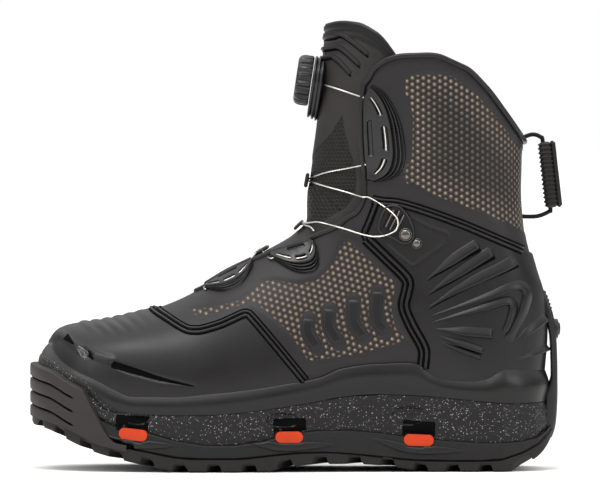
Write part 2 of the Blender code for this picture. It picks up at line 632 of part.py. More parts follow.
def side_prism(name, outline_points, y_low, y_high):
    """A cutter with a side-view outline, from one side of the boot to the other."""
    bm = bmesh.new()
    f = bm.faces.new([bm.verts.new((s * MM, y_low * MM, z * MM)) for s, z in outline_points])
    moved = bmesh.ops.extrude_face_region(bm, geom=[f])
    bmesh.ops.translate(bm, vec=(0, (y_high - y_low) * MM, 0),
                        verts=[v for v in moved["geom"] if isinstance(v, bmesh.types.BMVert)])
    mesh = bpy.data.meshes.new(name)
    bm.to_mesh(mesh)
    bm.free()
    return outward(place(bpy.data.objects.new(name, mesh), None))


def shares(rows):
    return [(s * SOLE_LENGTH, SEAT + UPPER_HEIGHT * z) for s, z in rows]


def above_rand(rows, end):
    """A side-view outline closed along the top of the rand."""
    top = shares(rows)
    s0, s1 = top[0][0], end * SOLE_LENGTH
    back = [s1 + (s0 - s1) * i / 14 for i in range(15)]
    return top + [(s, float(rand_top(s)) + 1.6 + (1.6 if s < 24 else 0)) for s in back]


OVERLAY = 1.2
# toe cap: from the rand up to the vamp seam
TOE_CAP = [(0.024, 0.26), (0.12, 0.30), (0.225, 0.30), (0.252, 0.285), (0.281, 0.24), (0.313, 0.21), (0.334, 0.208),
           (0.406, 0.266), (0.419, 0.263), (0.442, 0.219), (0.48, 0.141)]
rows = [r for r in ROWS if r <= 8]
pts, fcs, idx = sheet(rows, upper_places, lambda a: a <= THROAT_START)
toe_cap = skin("toe_cap", pts, fcs, GAP, OVERLAY, "film")
cut(settle(toe_cap), side_prism("toe_cap_room", above_rand(TOE_CAP, 0.513), -80, 80), "INTERSECT", True)

# heel counter: round the back, from the rand up to the ankle seam
COUNTER = [(0.726, 0.339), (0.688, 0.40), (0.653, 0.461), (0.654, 0.543), (0.665, 0.575), (0.684, 0.578),
           (0.765, 0.546), (0.861, 0.502), (0.919, 0.464), (0.967, 0.432), (1.03, 0.40)]
COUNTER_EDGE = [(0.759, 0.146), (0.748, 0.181), (0.732, 0.251), (0.736, 0.304)]
rows = [r for r in ROWS if r >= 9.2]
pts, fcs, idx = sheet(rows, lambda a: LOW + [1 + (edge(a) - 1) * t for t in (0.2, 0.4, 0.6, 0.8)], lambda a: False)
counter = skin("heel_counter", pts, fcs, GAP, OVERLAY, "film")
line = above_rand(COUNTER, 1.03)
line = line[:-15] + [(s, z) for s, z in line[-15:] if s > 0.765 * SOLE_LENGTH] + shares(COUNTER_EDGE)
cut(settle(counter), side_prism("counter_room", line, -80, 80), "INTERSECT", True)


def patch(name, a0, a1, inner, outer, offset, thickness, side, finish, steps=6, across=2):
    """A plate on the last between two rows; inner and outer give q for each share of the way."""
    points, faces = [], []
    for i in range(steps + 1):
        a = a0 + (a1 - a0) * i / steps
        for j in range(across + 1):
            q = inner(a, i / steps) + (outer(a, i / steps) - inner(a, i / steps)) * j / across
            points.append(surface(a, q, side))
    for i in range(steps):
        for j in range(across):
            k = i * (across + 1) + j
            f = (k, k + across + 1, k + across + 2, k + 1)
            faces.append(f if side == MEDIAL else f[::-1])
    return skin(name, np.array(points), faces, offset, thickness, finish)


def lens(x):
    return max(0.0, 1 - abs(2 * x - 1) ** 2.4)


# lace guides on the throat edge, toe to shaft: row span, greatest reach down in q
GUIDE = 2.4
GUIDES = [("vamp", 6.25, 7.6, 0.015, 0.16), ("instep", 8.15, 9.75, 0.02, 0.19), ("shaft", 15.7, 19.2, 0.02, 0.17)]
for side, word in SIDES:
    for kind, a0, a1, inset, reach in GUIDES:
        patch("guide_%s_%s" % (kind, word), a0, a1, lambda a, x: edge(a) - inset,
              lambda a, x: edge(a) - inset - 0.05 - reach * lens(x), GAP + 0.2, GUIDE, side, "guide_plastic")

# ankle bracket plates that carry the lace round two rivets
BRACKET = [(0.669, 0.566), (0.688, 0.572), (0.705, 0.549), (0.726, 0.511), (0.732, 0.484), (0.725, 0.464),
           (0.709, 0.458), (0.684, 0.467), (0.663, 0.482), (0.659, 0.505)]
BRACKET_BASE = OVERLAY + 2 * GAP
for side, word in SIDES:
    rows = [12, 12.65, 13, 13.6, 14.3, 15, 16, 17.3]
    pts, fcs, idx = sheet(rows, lambda a: [0.8, 0.95, 1.1, 1.25, edge(a) - 0.02], lambda a: False, sides=(side,))
    plate = skin("ankle_bracket_" + word, pts, fcs, BRACKET_BASE + 0.2, 1.6, "webbing")
    y = sorted((side * 5, side * 80))
    cut(settle(plate), side_prism("bracket_room", shares(BRACKET), y[0], y[1]), "INTERSECT")


def frame_at(a, q, side):
    """A turn whose z is the surface normal and whose x runs along the foot, and the point itself."""
    e = 0.02
    p = surface(a, q, side)
    q1, q2 = (q, max(q - 2 * e, 0)) if q >= 2 else (min(q + e, 2), max(q - e, 0))
    du = surface(min(a + e, LAST_ROW), q, side) - surface(max(a - e, 0), q, side)
    dv = surface(a, q1, side) - surface(a, q2, side)
    if q >= 2:
        dv = surface(a, 1.96, MEDIAL) - surface(a, 1.96, LATERAL)
        n = np.cross(du, dv)
    else:
        n = np.cross(du, dv) * -side
    n = n / np.linalg.norm(n)
    if n[2] < 0 and q >= 2:
        n = -n
    x = du - n * float(np.dot(du, n))
    x = x / np.linalg.norm(x)
    y = np.cross(n, x)
    turn = Matrix([[x[0], y[0], n[0], 0], [x[1], y[1], n[1], 0], [x[2], y[2], n[2], 0], [0, 0, 0, 1]])
    return p, n, turn


# rivets: along, up, diameter; the first goes through the bracket
RIVETS = [(0.715, 0.497, 5.4, BRACKET_BASE + 0.2 + 1.6 + GAP), (0.739, 0.474, 4.2, OVERLAY + 2 * GAP)]
for side, word in SIDES:
    for k, (rs, rz, across, base) in enumerate(RIVETS):
        a, q = find(rs * SOLE_LENGTH, SEAT + UPPER_HEIGHT * rz)
        p, n, turn = frame_at(a, q, side)
        tool_shape("rivet_%s_%d" % (word, k + 1), "cylinder", p + n * (base + 0.9), (across, across, 1.8),
                   "dark_steel", turn, 10)

RING_ROW, HOOK_ROW, LOOP_ROW, TOE_ROW = 13.0, 9.55, 7.9, 6.35
# small parts down the middle of the tongue: row, length along, width, height
for name, a, size in (("tongue_ring", RING_ROW, (9.0, 15.0, 2.4)), ("front_hook", HOOK_ROW, (7.0, 13.0, 2.0)),
                      ("front_loop", LOOP_ROW, (9.5, 15.0, 2.4))):
    p, n, turn = frame_at(a, 2.0, MEDIAL)
    lift = 1.0 if name == "front_hook" else 0.0
    ob = tool_shape(name, "box", p + n * (TONGUE_FACE + GAP + lift + size[2] / 2), size, "guide_plastic", turn)
    m = ob.modifiers.new("round", "BEVEL")
    m.width, m.segments = 0.9 * MM, 1

# dial: a knurled knob on a base moulded to the tongue
DIAL, DIAL_HEIGHT, DIAL_TILT, KNURLS = 31.0, 9.6, 8.5, 36
DIAL_AT = (0.522, 0.933)
c, s_ = math.cos(math.radians(DIAL_TILT)), math.sin(math.radians(DIAL_TILT))
axis = Vector((-c, 0, s_))
turn = Vector((0, 0, 1)).rotation_difference(axis).to_matrix().to_4x4()
dial_y = float(centre(DIAL_AT[0] * SOLE_LENGTH))
at = np.array([DIAL_AT[0] * SOLE_LENGTH, dial_y, SEAT + UPPER_HEIGHT * DIAL_AT[1]])
ax = np.array(axis)
knob = tool_shape("dial_knob", "cylinder", at, (DIAL, DIAL, DIAL_HEIGHT), "guide_plastic", turn, KNURLS)
for v in knob.data.vertices:
    d = Vector([v.co[k] - at[k] * MM for k in range(3)])
    r = d - axis * d.dot(axis)
    ang = math.atan2(r.y, r.dot(axis.cross(Vector((0, 1, 0)))))
    if round(ang / (2 * math.pi / KNURLS)) % 2:
        v.co -= r * 0.05
BASE_DEPTH = 12.0
base = tool_shape("dial_base", "cylinder", at - ax * (DIAL_HEIGHT / 2 + GAP + BASE_DEPTH / 2),
                  (DIAL + 3, DIAL + 3, BASE_DEPTH), "guide_plastic", turn, 32)
lobe = at - ax * (DIAL_HEIGHT / 2 + GAP + BASE_DEPTH / 2) + np.array([-2.0, 0, -17.0])
cut(base, tool_shape("lobe", "cylinder", lobe, (22, 20, BASE_DEPTH + 1), None, turn, 20), "UNION")
room = skin("tongue_room", TONGUE_SHEET[0], TONGUE_SHEET[1], TONGUE_FACE + GAP, -20.0)
cut(base, settle(room))


def wire(name, runs, radius, finish, resolution=2):
    """Round cords through smooth runs of points; runs that cross are joined."""
    made = []
    for points in runs:
        data = bpy.data.curves.new(name, "CURVE")
        data.dimensions, data.bevel_depth, data.bevel_resolution = "3D", radius * MM, resolution
        data.use_fill_caps, data.resolution_u = True, 1
        spline = data.splines.new("POLY")
        spline.points.add(len(points) - 1)
        for i, p in enumerate(points):
            spline.points[i].co = (p[0] * MM, p[1] * MM, p[2] * MM, 1.0)
        ob = bpy.data.objects.new(name, data)
        CUTTERS.objects.link(ob)
        bpy.context.view_layer.update()
        mesh = bpy.data.meshes.new_from_object(ob.evaluated_get(bpy.context.evaluated_depsgraph_get()))
        bpy.data.objects.remove(ob)
        bm = bmesh.new()
        bm.from_mesh(mesh)
        bmesh.ops.remove_doubles(bm, verts=bm.verts, dist=1e-6)
        bm.to_mesh(mesh)
        bm.free()
        made.append(place(bpy.data.objects.new(name, mesh), finish))
    for other in made[1:]:
        cut(made[0], other, "UNION")
    made[0].name = name
    return made[0]


def lace(stops, offset=1.15, step=9.0):
    """Points over the last through stops of row, side distance from the ridge and optional height."""
    dense = []
    for (a0, t0, *h0), (a1, t1, *h1) in zip(stops, stops[1:]):
        for k in range(40):
            x = k / 40
            lift = (h0[0] if h0 else offset) * (1 - x) + (h1[0] if h1 else offset) * x
            a, t = a0 + (a1 - a0) * x, t0 + (t1 - t0) * x
            side = MEDIAL if t > 0 else LATERAL
            q = 2 - abs(t)
            p, n, turn = frame_at(a, q, side)
            dense.append(p + n * lift)
    a, t, *h = stops[-1]
    p, n, turn = frame_at(a, 2 - abs(t), MEDIAL if t > 0 else LATERAL)
    dense.append(p + n * (h[0] if h else offset))
    dense = np.array(dense)
    run = np.concatenate([[0], np.cumsum(np.linalg.norm(np.diff(dense, axis=0), axis=1))])
    count = max(2, int(round(run[-1] / step)) + 1)
    return [np.array([np.interp(x, run, dense[:, k]) for k in range(3)]) for x in np.linspace(0, run[-1], count)]


WIRE = 0.55


def stop(s, z, side, lift=None):
    """A lace stop where the side view shows it."""
    a, q = find(s, z)
    return (a, side * (2 - q)) if lift is None else (a, side * (2 - q), lift)


# lace spans: each runs from the rim of one guide over the middle of the tongue to the next guide across
SHAFT_TOP, SHAFT_LOW, INSTEP_TOP, INSTEP_LOW, VAMP_TOP = 18.9, 16.0, 9.62, 8.3, 7.45
BRACKET_IN, BRACKET_OUT = (0.6655, 0.566), (0.6565, 0.486)
OVER = BRACKET_BASE + 1.0
RIM_GAP = 0.011


def on_rim(a, side):
    """A lace stop just clear of a guide's inner rim."""
    return a, side * (2 - edge(a) + 0.02 - RIM_GAP)


def on_side(pair, side):
    return stop(pair[0] * SOLE_LENGTH, SEAT + UPPER_HEIGHT * pair[1], side, OVER)


RAISED = 2.3
for side, word in SIDES:
    wire("lace_dial_" + word, [lace([(18.75, side * 0.34), on_rim(SHAFT_TOP, side)])], WIRE, "wire_steel", 1)
wire("lace_ring", [lace([on_rim(SHAFT_LOW, side), (RING_ROW, 0.0, RAISED), on_side(BRACKET_IN, -side)], step=14.0)
                   for side, word in SIDES], WIRE, "wire_steel", 1)
wire("lace_hook", [lace([on_side(BRACKET_OUT, side), (HOOK_ROW, 0.0, RAISED), on_rim(INSTEP_TOP, -side)], step=14.0)
                   for side, word in SIDES], WIRE, "wire_steel", 1)
wire("lace_loop", [lace([on_rim(INSTEP_LOW, side), (LOOP_ROW, 0.0, RAISED), on_rim(VAMP_TOP, -side)], step=9.0)
                   for side, word in SIDES], WIRE, "wire_steel", 1)
wire("lace_toe", [lace([on_rim(TOE_ROW, LATERAL), (TOE_ROW, 0.0), on_rim(TOE_ROW, MEDIAL)])], WIRE,
     "wire_steel", 1)

# heel strap and its peg, down the middle of the back
STRAP, STRAP_ROWS = 3.2, [14.05, 14.3, 15, 16, 16.4]
pts, fcs, idx = sheet(STRAP_ROWS, lambda a: [0, 0.05, 0.1], lambda a: False)
skin("heel_strap", pts, fcs, OVERLAY + 2 * GAP, STRAP, "webbing")
p, n, turn = frame_at(15.05, 0.0, MEDIAL)
PEG = 4.2
tool_shape("heel_peg", "cylinder", p + np.array([OVERLAY + 3 * GAP + STRAP + PEG / 2, 0, 0]), (13.0, 11.0, PEG),
           "guide_plastic", Matrix.Rotation(math.pi / 2, 4, "Y"), 20)

# pull loop behind the collar: a cord through a ribbed grip, with a flat strip behind
GRIP, STRIP = (7.0, 13.0, 41.0), (3.6, 11.0, 41.0)
GRIP_AT, GRIP_LEAN = (0.9885, 0.657), -6.5
y0 = float(centre(SOLE_LENGTH * 0.95))
lean = Matrix.Rotation(math.radians(GRIP_LEAN), 4, "Y")
grip_at = np.array([GRIP_AT[0] * SOLE_LENGTH, y0, SEAT + UPPER_HEIGHT * GRIP_AT[1]])
up = np.array(lean @ Vector((0, 0, 1)))
out = np.array(lean @ Vector((1, 0, 0)))
grip = tool_shape("pull_grip", "box", grip_at, GRIP, "guide_plastic", lean)
strip = tool_shape("pull_strip", "box", grip_at + out * (GRIP[0] / 2 + GAP + STRIP[0] / 2), STRIP, "webbing", lean)
for ob in (grip, strip):
    m = ob.modifiers.new("round", "BEVEL")
    m.width, m.segments = 1.4 * MM, 1
CORD = 1.6
ends = [np.array([0.9345 * SOLE_LENGTH, y0, SEAT + UPPER_HEIGHT * 0.775]),
        np.array([0.9440 * SOLE_LENGTH, y0, SEAT + UPPER_HEIGHT * 0.538])]
turns = [grip_at + up * (GRIP[2] / 2 + 5), grip_at - up * (GRIP[2] / 2 + 2)]


def cord_points():
    knots = [ends[0], (ends[0] + turns[0]) / 2 + np.array([1.5, 0, 3.0]), turns[0] + out * -1.0,
             grip_at + up * GRIP[2] / 2, grip_at, grip_at - up * GRIP[2] / 2, turns[1] + out * -1.0,
             (ends[1] + turns[1]) / 2 + np.array([1.0, 0, -2.5]), ends[1]]
    return knots


settle(grip)
cut(grip, wire("cord_room", [cord_points()], CORD + GAP, None, 1))
wire("pull_cord", [cord_points()], CORD, "webbing", 1)
cut(bpy.data.objects["pull_cord"], envelope())

result = list(BOOT.objects)
bpy.context.view_layer.update()
low = np.full(3, 1e9)
high = -low
graph = bpy.context.evaluated_depsgraph_get()
for ob in result:
    for corner in ob.evaluated_get(graph).bound_box:
        low, high = np.minimum(low, corner), np.maximum(high, corner)
shift = Vector((-(low[0] + high[0]) / 2, -(low[1] + high[1]) / 2, -low[2]))
print("shift in mm", [round(c * 1000, 3) for c in shift], "size", [round(float(c) * 1000, 1) for c in high - low])
for ob in result:
    ob.data.transform(Matrix.Translation(shift))
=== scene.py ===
# %% [markdown]
# # A wading boot, dressed for the studio
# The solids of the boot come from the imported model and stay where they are.
# This lesson gives them the surfaces of the real boot: a laminated film upper with mesh windows,
# a rubber sole, a foam midsole, moulded lace guides, a dial and a steel lace.

# %% Load the frame
import math

import bpy
import numpy as np
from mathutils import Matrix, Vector
from mathutils.bvhtree import BVHTree


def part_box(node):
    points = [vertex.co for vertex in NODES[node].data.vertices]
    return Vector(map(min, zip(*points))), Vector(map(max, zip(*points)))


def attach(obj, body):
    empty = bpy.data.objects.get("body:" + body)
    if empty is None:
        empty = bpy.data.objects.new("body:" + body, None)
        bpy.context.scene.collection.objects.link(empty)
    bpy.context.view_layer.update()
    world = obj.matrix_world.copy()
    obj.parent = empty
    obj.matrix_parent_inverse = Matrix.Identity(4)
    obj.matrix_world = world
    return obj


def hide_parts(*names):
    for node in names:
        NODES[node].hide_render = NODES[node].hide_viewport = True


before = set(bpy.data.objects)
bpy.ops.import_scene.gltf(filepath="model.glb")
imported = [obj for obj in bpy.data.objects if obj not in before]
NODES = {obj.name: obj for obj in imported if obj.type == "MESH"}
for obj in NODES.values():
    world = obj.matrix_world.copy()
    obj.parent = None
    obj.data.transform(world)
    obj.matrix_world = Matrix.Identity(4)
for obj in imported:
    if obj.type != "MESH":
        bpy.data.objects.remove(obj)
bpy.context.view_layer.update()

# %% [markdown]
# ## The last
# A boot is shaped on a last, so the surface of the last is the one thing every piece shares.
# It is drawn as a fan of sections that turn from the toe, over the instep, to the collar.
# The tables hold shares of the named sizes in millimetres, as the solids do.

# %% Named sizes
MM = 0.001
SOLE_LENGTH, SEAT, UPPER_HEIGHT, BALL_HALF = 320.0, 42.0, 211.0, 57.5
WALL, GAP, TONGUE, UPPER_INSET = 2.5, 0.3, 3.0, 9.3
TOE_ROUND, HEEL_ROUND, HEEL_SQUARE = 55.0, 45.0, 0.5
LATERAL, MEDIAL = -1, 1
HEEL_ROW, LAST_ROW, THROAT_START = 13, 20, 5.75

# share of the length, share of the ball half-width, shift of the centre line in mm
PLAN = [(0.0, 0.90, 9.0), (0.10, 0.93, 8.4), (0.17, 0.965, 7.2), (0.25, 1.0, 4.0), (0.34, 0.985, 1.0),
        (0.44, 0.90, -1.6), (0.53, 0.81, -3.0), (0.625, 0.757, -3.0), (0.72, 0.748, -1.8),
        (0.81, 0.765, -0.8), (0.89, 0.77, -0.2), (1.0, 0.76, 0.0)]

# side-view lines: share of the length, share of the seat height
TREAD_BOTTOM = [(0.0, 0.667), (0.037, 0.595), (0.078, 0.44), (0.125, 0.286), (0.188, 0.155), (0.25, 0.05),
                (0.29, 0.0), (0.44, 0.0), (0.5, 0.083), (0.547, 0.114), (0.609, 0.119), (0.672, 0.095),
                (0.734, 0.024), (0.764, 0.0), (0.908, 0.0), (0.938, 0.095), (0.969, 0.214), (0.991, 0.405),
                (1.0, 0.56)]
TREAD_TOP = [(0.0, 0.833), (0.062, 0.69), (0.103, 0.548), (0.131, 0.44), (0.225, 0.286), (0.272, 0.214),
             (0.312, 0.186), (0.397, 0.186), (0.438, 0.214), (0.481, 0.25), (0.516, 0.271), (0.562, 0.276),
             (0.609, 0.255), (0.672, 0.205), (0.747, 0.157), (0.841, 0.148), (0.891, 0.157), (0.919, 0.21),
             (0.947, 0.286), (0.975, 0.405), (1.0, 0.619)]
BUMPER_END = [(0.0, 1.9), (0.10, 1.2), (0.118, 0.95), (0.136, 0.70), (0.152, 0.50), (0.165, 0.42),
              (0.184, 0.39)]
RIM = [(0.0, 1.619), (0.034, 1.488), (0.072, 1.314), (0.113, 1.148), (0.142, 0.93), (0.181, 0.857),
       (0.272, 0.819), (0.344, 0.826), (0.419, 0.871), (0.491, 0.945), (0.553, 1.024), (0.588, 1.076),
       (0.656, 1.119), (0.728, 1.105), (0.8, 1.062), (0.872, 1.007), (0.925, 0.983), (1.0, 1.0)]
FOOTBED = [(0.028, 1.048), (0.094, 0.929), (0.141, 0.857), (0.272, 0.775), (0.344, 0.78), (0.419, 0.8),
           (0.491, 0.86), (0.553, 0.92), (0.625, 0.955), (0.728, 0.97), (0.8, 0.955), (0.872, 0.93),
           (0.925, 0.915), (1.0, 0.93)]

# the last as a fan of sections, toe to collar; each runs from a top point to a foot or back point:
# top along, top up, foot along, foot up (None is on the footbed), greatest half-width in shares of
# BALL_HALF, where it lies between foot and top, squareness over the top, throat edge, ridge shift in mm
FAN = [
    (0.037, 0.166, 0.030, None, 0.00, 0.36, 2.3, 2.00, 0.0),
    (0.055, 0.204, 0.044, None, 0.30, 0.36, 2.3, 2.00, 0.0),
    (0.081, 0.217, 0.075, None, 0.60, 0.36, 2.3, 2.00, 0.5),
    (0.125, 0.225, 0.125, None, 0.78, 0.36, 2.25, 2.00, 1.0),
    (0.188, 0.246, 0.194, None, 0.862, 0.34, 2.2, 2.00, 2.0),
    (0.256, 0.277, 0.275, None, 0.885, 0.32, 2.1, 2.00, 3.5),
    (0.319, 0.322, 0.359, None, 0.865, 0.31, 2.0, 1.90, 4.5),
    (0.381, 0.393, 0.447, None, 0.812, 0.32, 2.0, 1.80, 4.5),
    (0.444, 0.450, 0.537, None, 0.750, 0.34, 2.0, 1.745, 4.0),
    (0.494, 0.495, 0.631, None, 0.712, 0.36, 2.0, 1.69, 3.0),
    (0.516, 0.531, 0.734, None, 0.698, 0.37, 2.0, 1.63, 2.0),
    (0.516, 0.569, 0.838, None, 0.700, 0.37, 2.0, 1.575, 1.0),
    (0.517, 0.607, 0.922, None, 0.700, 0.38, 2.0, 1.53, 0.5),
    (0.522, 0.645, 0.971, 0.0, 0.692, 0.40, 2.0, 1.50, 0.0),
    (0.526, 0.687, 0.981, 0.095, 0.684, 0.42, 2.0, 1.43, 0.0),
    (0.531, 0.732, 0.986, 0.204, 0.678, 0.44, 2.05, 1.39, 0.0),
    (0.536, 0.780, 0.981, 0.299, 0.682, 0.45, 2.05, 1.39, 0.0),
    (0.540, 0.832, 0.964, 0.389, 0.705, 0.45, 2.1, 1.395, 0.0),
    (0.544, 0.889, 0.947, 0.493, 0.740, 0.45, 2.1, 1.40, 0.0),
    (0.548, 0.953, 0.941, 0.616, 0.775, 0.45, 2.1, 1.405, 0.0),
    (0.553, 1.024, 0.946, 0.753, 0.800, 0.45, 2.1, 1.41, 0.0)]
# how far the collar rises over the last section: place on it, share of UPPER_HEIGHT
COLLAR_RISE = [(0.0, 0.0), (0.1, 0.056), (0.2, 0.106), (0.3, 0.133), (0.4, 0.133), (0.55, 0.10),
               (0.66, 0.062), (0.74, 0.010), (0.79, -0.045), (1.0, -0.05)]
# upper edge of the rand: share of the length, share of UPPER_HEIGHT over the seat
RAND_TOP = [(0.0, 0.18), (0.037, 0.166), (0.05, 0.137), (0.062, 0.116), (0.091, 0.088), (0.128, 0.062),
            (0.169, 0.03), (0.197, 0.015), (0.272, 0.015), (0.344, 0.024), (0.419, 0.036), (0.491, 0.053),
            (0.553, 0.071), (0.588, 0.094), (0.621, 0.104), (0.656, 0.11), (0.728, 0.113), (0.747, 0.103),
            (0.762, 0.083), (0.791, 0.064), (0.834, 0.059), (0.871, 0.065), (0.887, 0.079), (0.906, 0.093),
            (0.941, 0.094), (0.975, 0.088), (1.0, 0.085)]
print("sections of the last:", len(FAN))

# %% [markdown]
# ### Curves through few points
# The tables hold a few measured places each. Straight pieces between them would show corners, and a
# plain spline would swing past them, so one small function joins them smoothly and never overshoots.


# %% Lines of the last
def curve(rows, x, column=1):
    """A smooth line through given rows that never overshoots them."""
    xs = np.array([r[0] for r in rows], float)
    ys = np.array([r[column] for r in rows], float)
    x = np.clip(np.asarray(x, float), xs[0], xs[-1])
    h = np.diff(xs)
    d = np.diff(ys) / h
    m = np.zeros_like(ys)
    m[0], m[-1] = d[0], d[-1]
    for i in range(1, len(xs) - 1):
        if d[i - 1] * d[i] > 0:
            w1, w2 = 2 * h[i] + h[i - 1], h[i] + 2 * h[i - 1]
            m[i] = (w1 + w2) / (w1 / d[i - 1] + w2 / d[i])
    i = np.clip(np.searchsorted(xs, x, side="right") - 1, 0, len(h) - 1)
    t = (x - xs[i]) / h[i]
    return ((1 + 2 * t) * (1 - t) ** 2 * ys[i] + t * (1 - t) ** 2 * h[i] * m[i]
            + t * t * (3 - 2 * t) * ys[i + 1] + t * t * (t - 1) * h[i] * m[i + 1])


def level(rows):
    """A height in mm along the boot from a table of shares."""
    return lambda s: curve(rows, np.asarray(s, float) / SOLE_LENGTH) * SEAT


tread_bottom, tread_top = level(TREAD_BOTTOM), level(TREAD_TOP)
rim, footbed = level(RIM), level(FOOTBED)


def bumper_top(s):
    """Height of the toe bumper's upper edge."""
    return np.minimum(rim(s) - 0.4, level(BUMPER_END)(s))


def rand_top(s):
    """Height of the rand's upper edge."""
    return SEAT + UPPER_HEIGHT * curve(RAND_TOP, np.asarray(s, float) / SOLE_LENGTH)


def centre(s):
    """How far the middle line of the sole bends to the medial side."""
    return curve(PLAN, np.asarray(s, float) / SOLE_LENGTH, 2)


def outline(v, side):
    """The sole edge in plan: v is 0 at the toe, 1 and 2 where the sides start and end, 3 at the heel."""
    v = np.asarray(v, float)
    a, b = np.clip(v, 0, 1) * math.pi / 2, np.clip(3 - v, 0, 1) * math.pi / 2
    ca, cb = np.maximum(np.cos(a), 0), np.maximum(np.cos(b), 0)
    straight = TOE_ROUND + (v - 1) * (SOLE_LENGTH - TOE_ROUND - HEEL_ROUND)
    s = np.where(v <= 1, TOE_ROUND * (1 - ca ** (2 / 2.3)),
                 np.where(v >= 2, SOLE_LENGTH - HEEL_ROUND * (1 - cb ** (2 / 2.4)), straight))
    e = np.where(v <= 1, np.sin(a) ** (2 / 2.3), np.where(v >= 2, np.sin(b) ** (2 / 2.4), 1.0))
    return s, centre(s) + side * e * BALL_HALF * curve(PLAN, s / SOLE_LENGTH)


def inset_point(v, side, inset):
    """The outline drawn in by a distance, with the inward direction."""
    v = np.clip(np.asarray(v, float), 0, 3)
    s, y = outline(v, side)
    a, b = outline(np.maximum(v - 0.004, 0), side), outline(np.minimum(v + 0.004, 3), side)
    ds, dy = b[0] - a[0], b[1] - a[1]
    n = np.maximum(np.hypot(ds, dy), 1e-9)
    ins, iny = side * dy / n, -side * ds / n
    ins = np.where(v <= 0, 1.0, np.where(v >= 3, -1.0, ins))
    iny = np.where((v <= 0) | (v >= 3), 0.0, iny)
    return s + inset * ins, y + inset * iny, ins, iny


PLAN_EDGE = inset_point(np.linspace(0, 3, 481), LATERAL, UPPER_INSET)
FAN_ROWS = [(i,) + r for i, r in enumerate(FAN)]
FOOT_ROWS = [(i, r[3]) for i, r in enumerate(FAN) if r[3] is not None]


def fan(a, column):
    """A column of the fan at row a, also between rows."""
    return curve(FAN_ROWS, a, column + 1)


# %% [markdown]
# ### One surface for every piece
# Any place on the last is given by a row of the fan and a place on that section. The upper, its films,
# the tongue and the guides all take their points from this one function, so they fit one another.


# %% Points of the last
def last_point(a, q, side, rise=COLLAR_RISE):
    """Points of the last: a counts the fan rows, q runs 0 at the foot, 1 at the widest, 2 at the ridge."""
    a, q, side = np.broadcast_arrays(np.asarray(a, float), np.asarray(q, float), side)
    top_s, top_z = fan(a, 0) * SOLE_LENGTH, SEAT + UPPER_HEIGHT * fan(a, 1)
    tip, end, start = UPPER_INSET, SOLE_LENGTH - UPPER_INSET, FAN[HEEL_ROW - 1][2] * SOLE_LENGTH
    foot_s = fan(a, 2) * SOLE_LENGTH
    toe = tip + (FAN[1][2] * SOLE_LENGTH - tip) * (1 - np.cos(np.clip(a, 0, 1) * math.pi / 2))
    foot_s = np.where(a < 1, toe, foot_s)
    back = start + (end - start) * np.sin(np.clip(a - HEEL_ROW + 1, 0, 1) * math.pi / 2)
    foot_s = np.where((a > HEEL_ROW - 1) & (a <= HEEL_ROW), back, foot_s)
    bed = a <= HEEL_ROW
    over = np.maximum(0.0, 1 - (a - HEEL_ROW))
    up = SEAT + UPPER_HEIGHT * curve(FOOT_ROWS, a) + (2 * GAP + float(footbed(end)) - SEAT) * over
    foot_z = np.where(bed, footbed(foot_s) + 2 * GAP, up)
    half = np.interp(foot_s, PLAN_EDGE[0], np.abs(PLAN_EDGE[1] - centre(PLAN_EDGE[0])))
    low = np.where(bed & (a > 0) & (a < HEEL_ROW), half, 0.0)
    wide = np.maximum(np.maximum(1.03 * low, BALL_HALF * fan(a, 4)), 1e-6)
    mid, square = fan(a, 5), fan(a, 6)
    x = np.clip(q, 0, 1) * math.pi / 2
    k, p = (wide - low) / wide, 2 / (2 + HEEL_SQUARE * np.clip(a - 11.5, 0, 1))
    h0 = mid * ((1 - k) * np.clip(q, 0, 1) + k * (1 - np.maximum(np.cos(x), 0) ** p))
    w0 = low + (wide - low) * np.sin(x) ** p
    x = np.clip(q - 1, 0, 1) * math.pi / 2
    h1 = mid + (1 - mid) * np.sin(x) ** (2 / square)
    w1 = np.where(q < 2 - 1e-9, wide * np.maximum(np.cos(x), 0) ** (2 / square), 0.0)
    h, w = np.where(q <= 1, h0, h1), np.where(q <= 1, w0, w1)
    s = foot_s + (top_s - foot_s) * h
    z = foot_z + (top_z - foot_z) * h
    grow = np.maximum(0.0, (a - 12.0) / (LAST_ROW - 12.0))
    z = z + UPPER_HEIGHT * curve(rise, h) * grow ** 1.6
    return np.stack([s, centre(s) + side * w + fan(a, 8) * h * h, z], -1)


def throat(a):
    """Where the throat edge lies on row a."""
    a = np.asarray(a, float)
    e = fan(a, 7) + np.maximum(0.0, (6.3 - a) / 0.55) ** 2 * 0.12
    return np.where(a <= THROAT_START, 2.0, np.minimum(e, 2.0))


# the model is centred on its box, so the toe of the outsole and the dial give the shift
DIAL_AT = (0.522, 0.933)
knob_low, knob_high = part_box("dial_knob")
SHIFT = np.array([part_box("outsole")[0].x * 1000,
                  (knob_low.y + knob_high.y) * 500 - float(centre(DIAL_AT[0] * SOLE_LENGTH)), 0.0])
print("shift in mm:", SHIFT.round(2))

# %% [markdown]
# ## Places in the picture
# The boot is seen straight from its outer side, so a place in the picture is a place along the
# foot and a height. One pixel of the picture is 0.615 mm on the boot.

# %% From picture to boot
PIXEL, TOE_X, GROUND_Y = 0.615, 32.0, 468.5


def mm(points):
    """Picture places as lengths along the boot and heights, in mm."""
    p = np.asarray(points, float)
    return np.stack([(p[..., 0] - TOE_X) * PIXEL, (GROUND_Y - p[..., 1]) * PIXEL], -1)


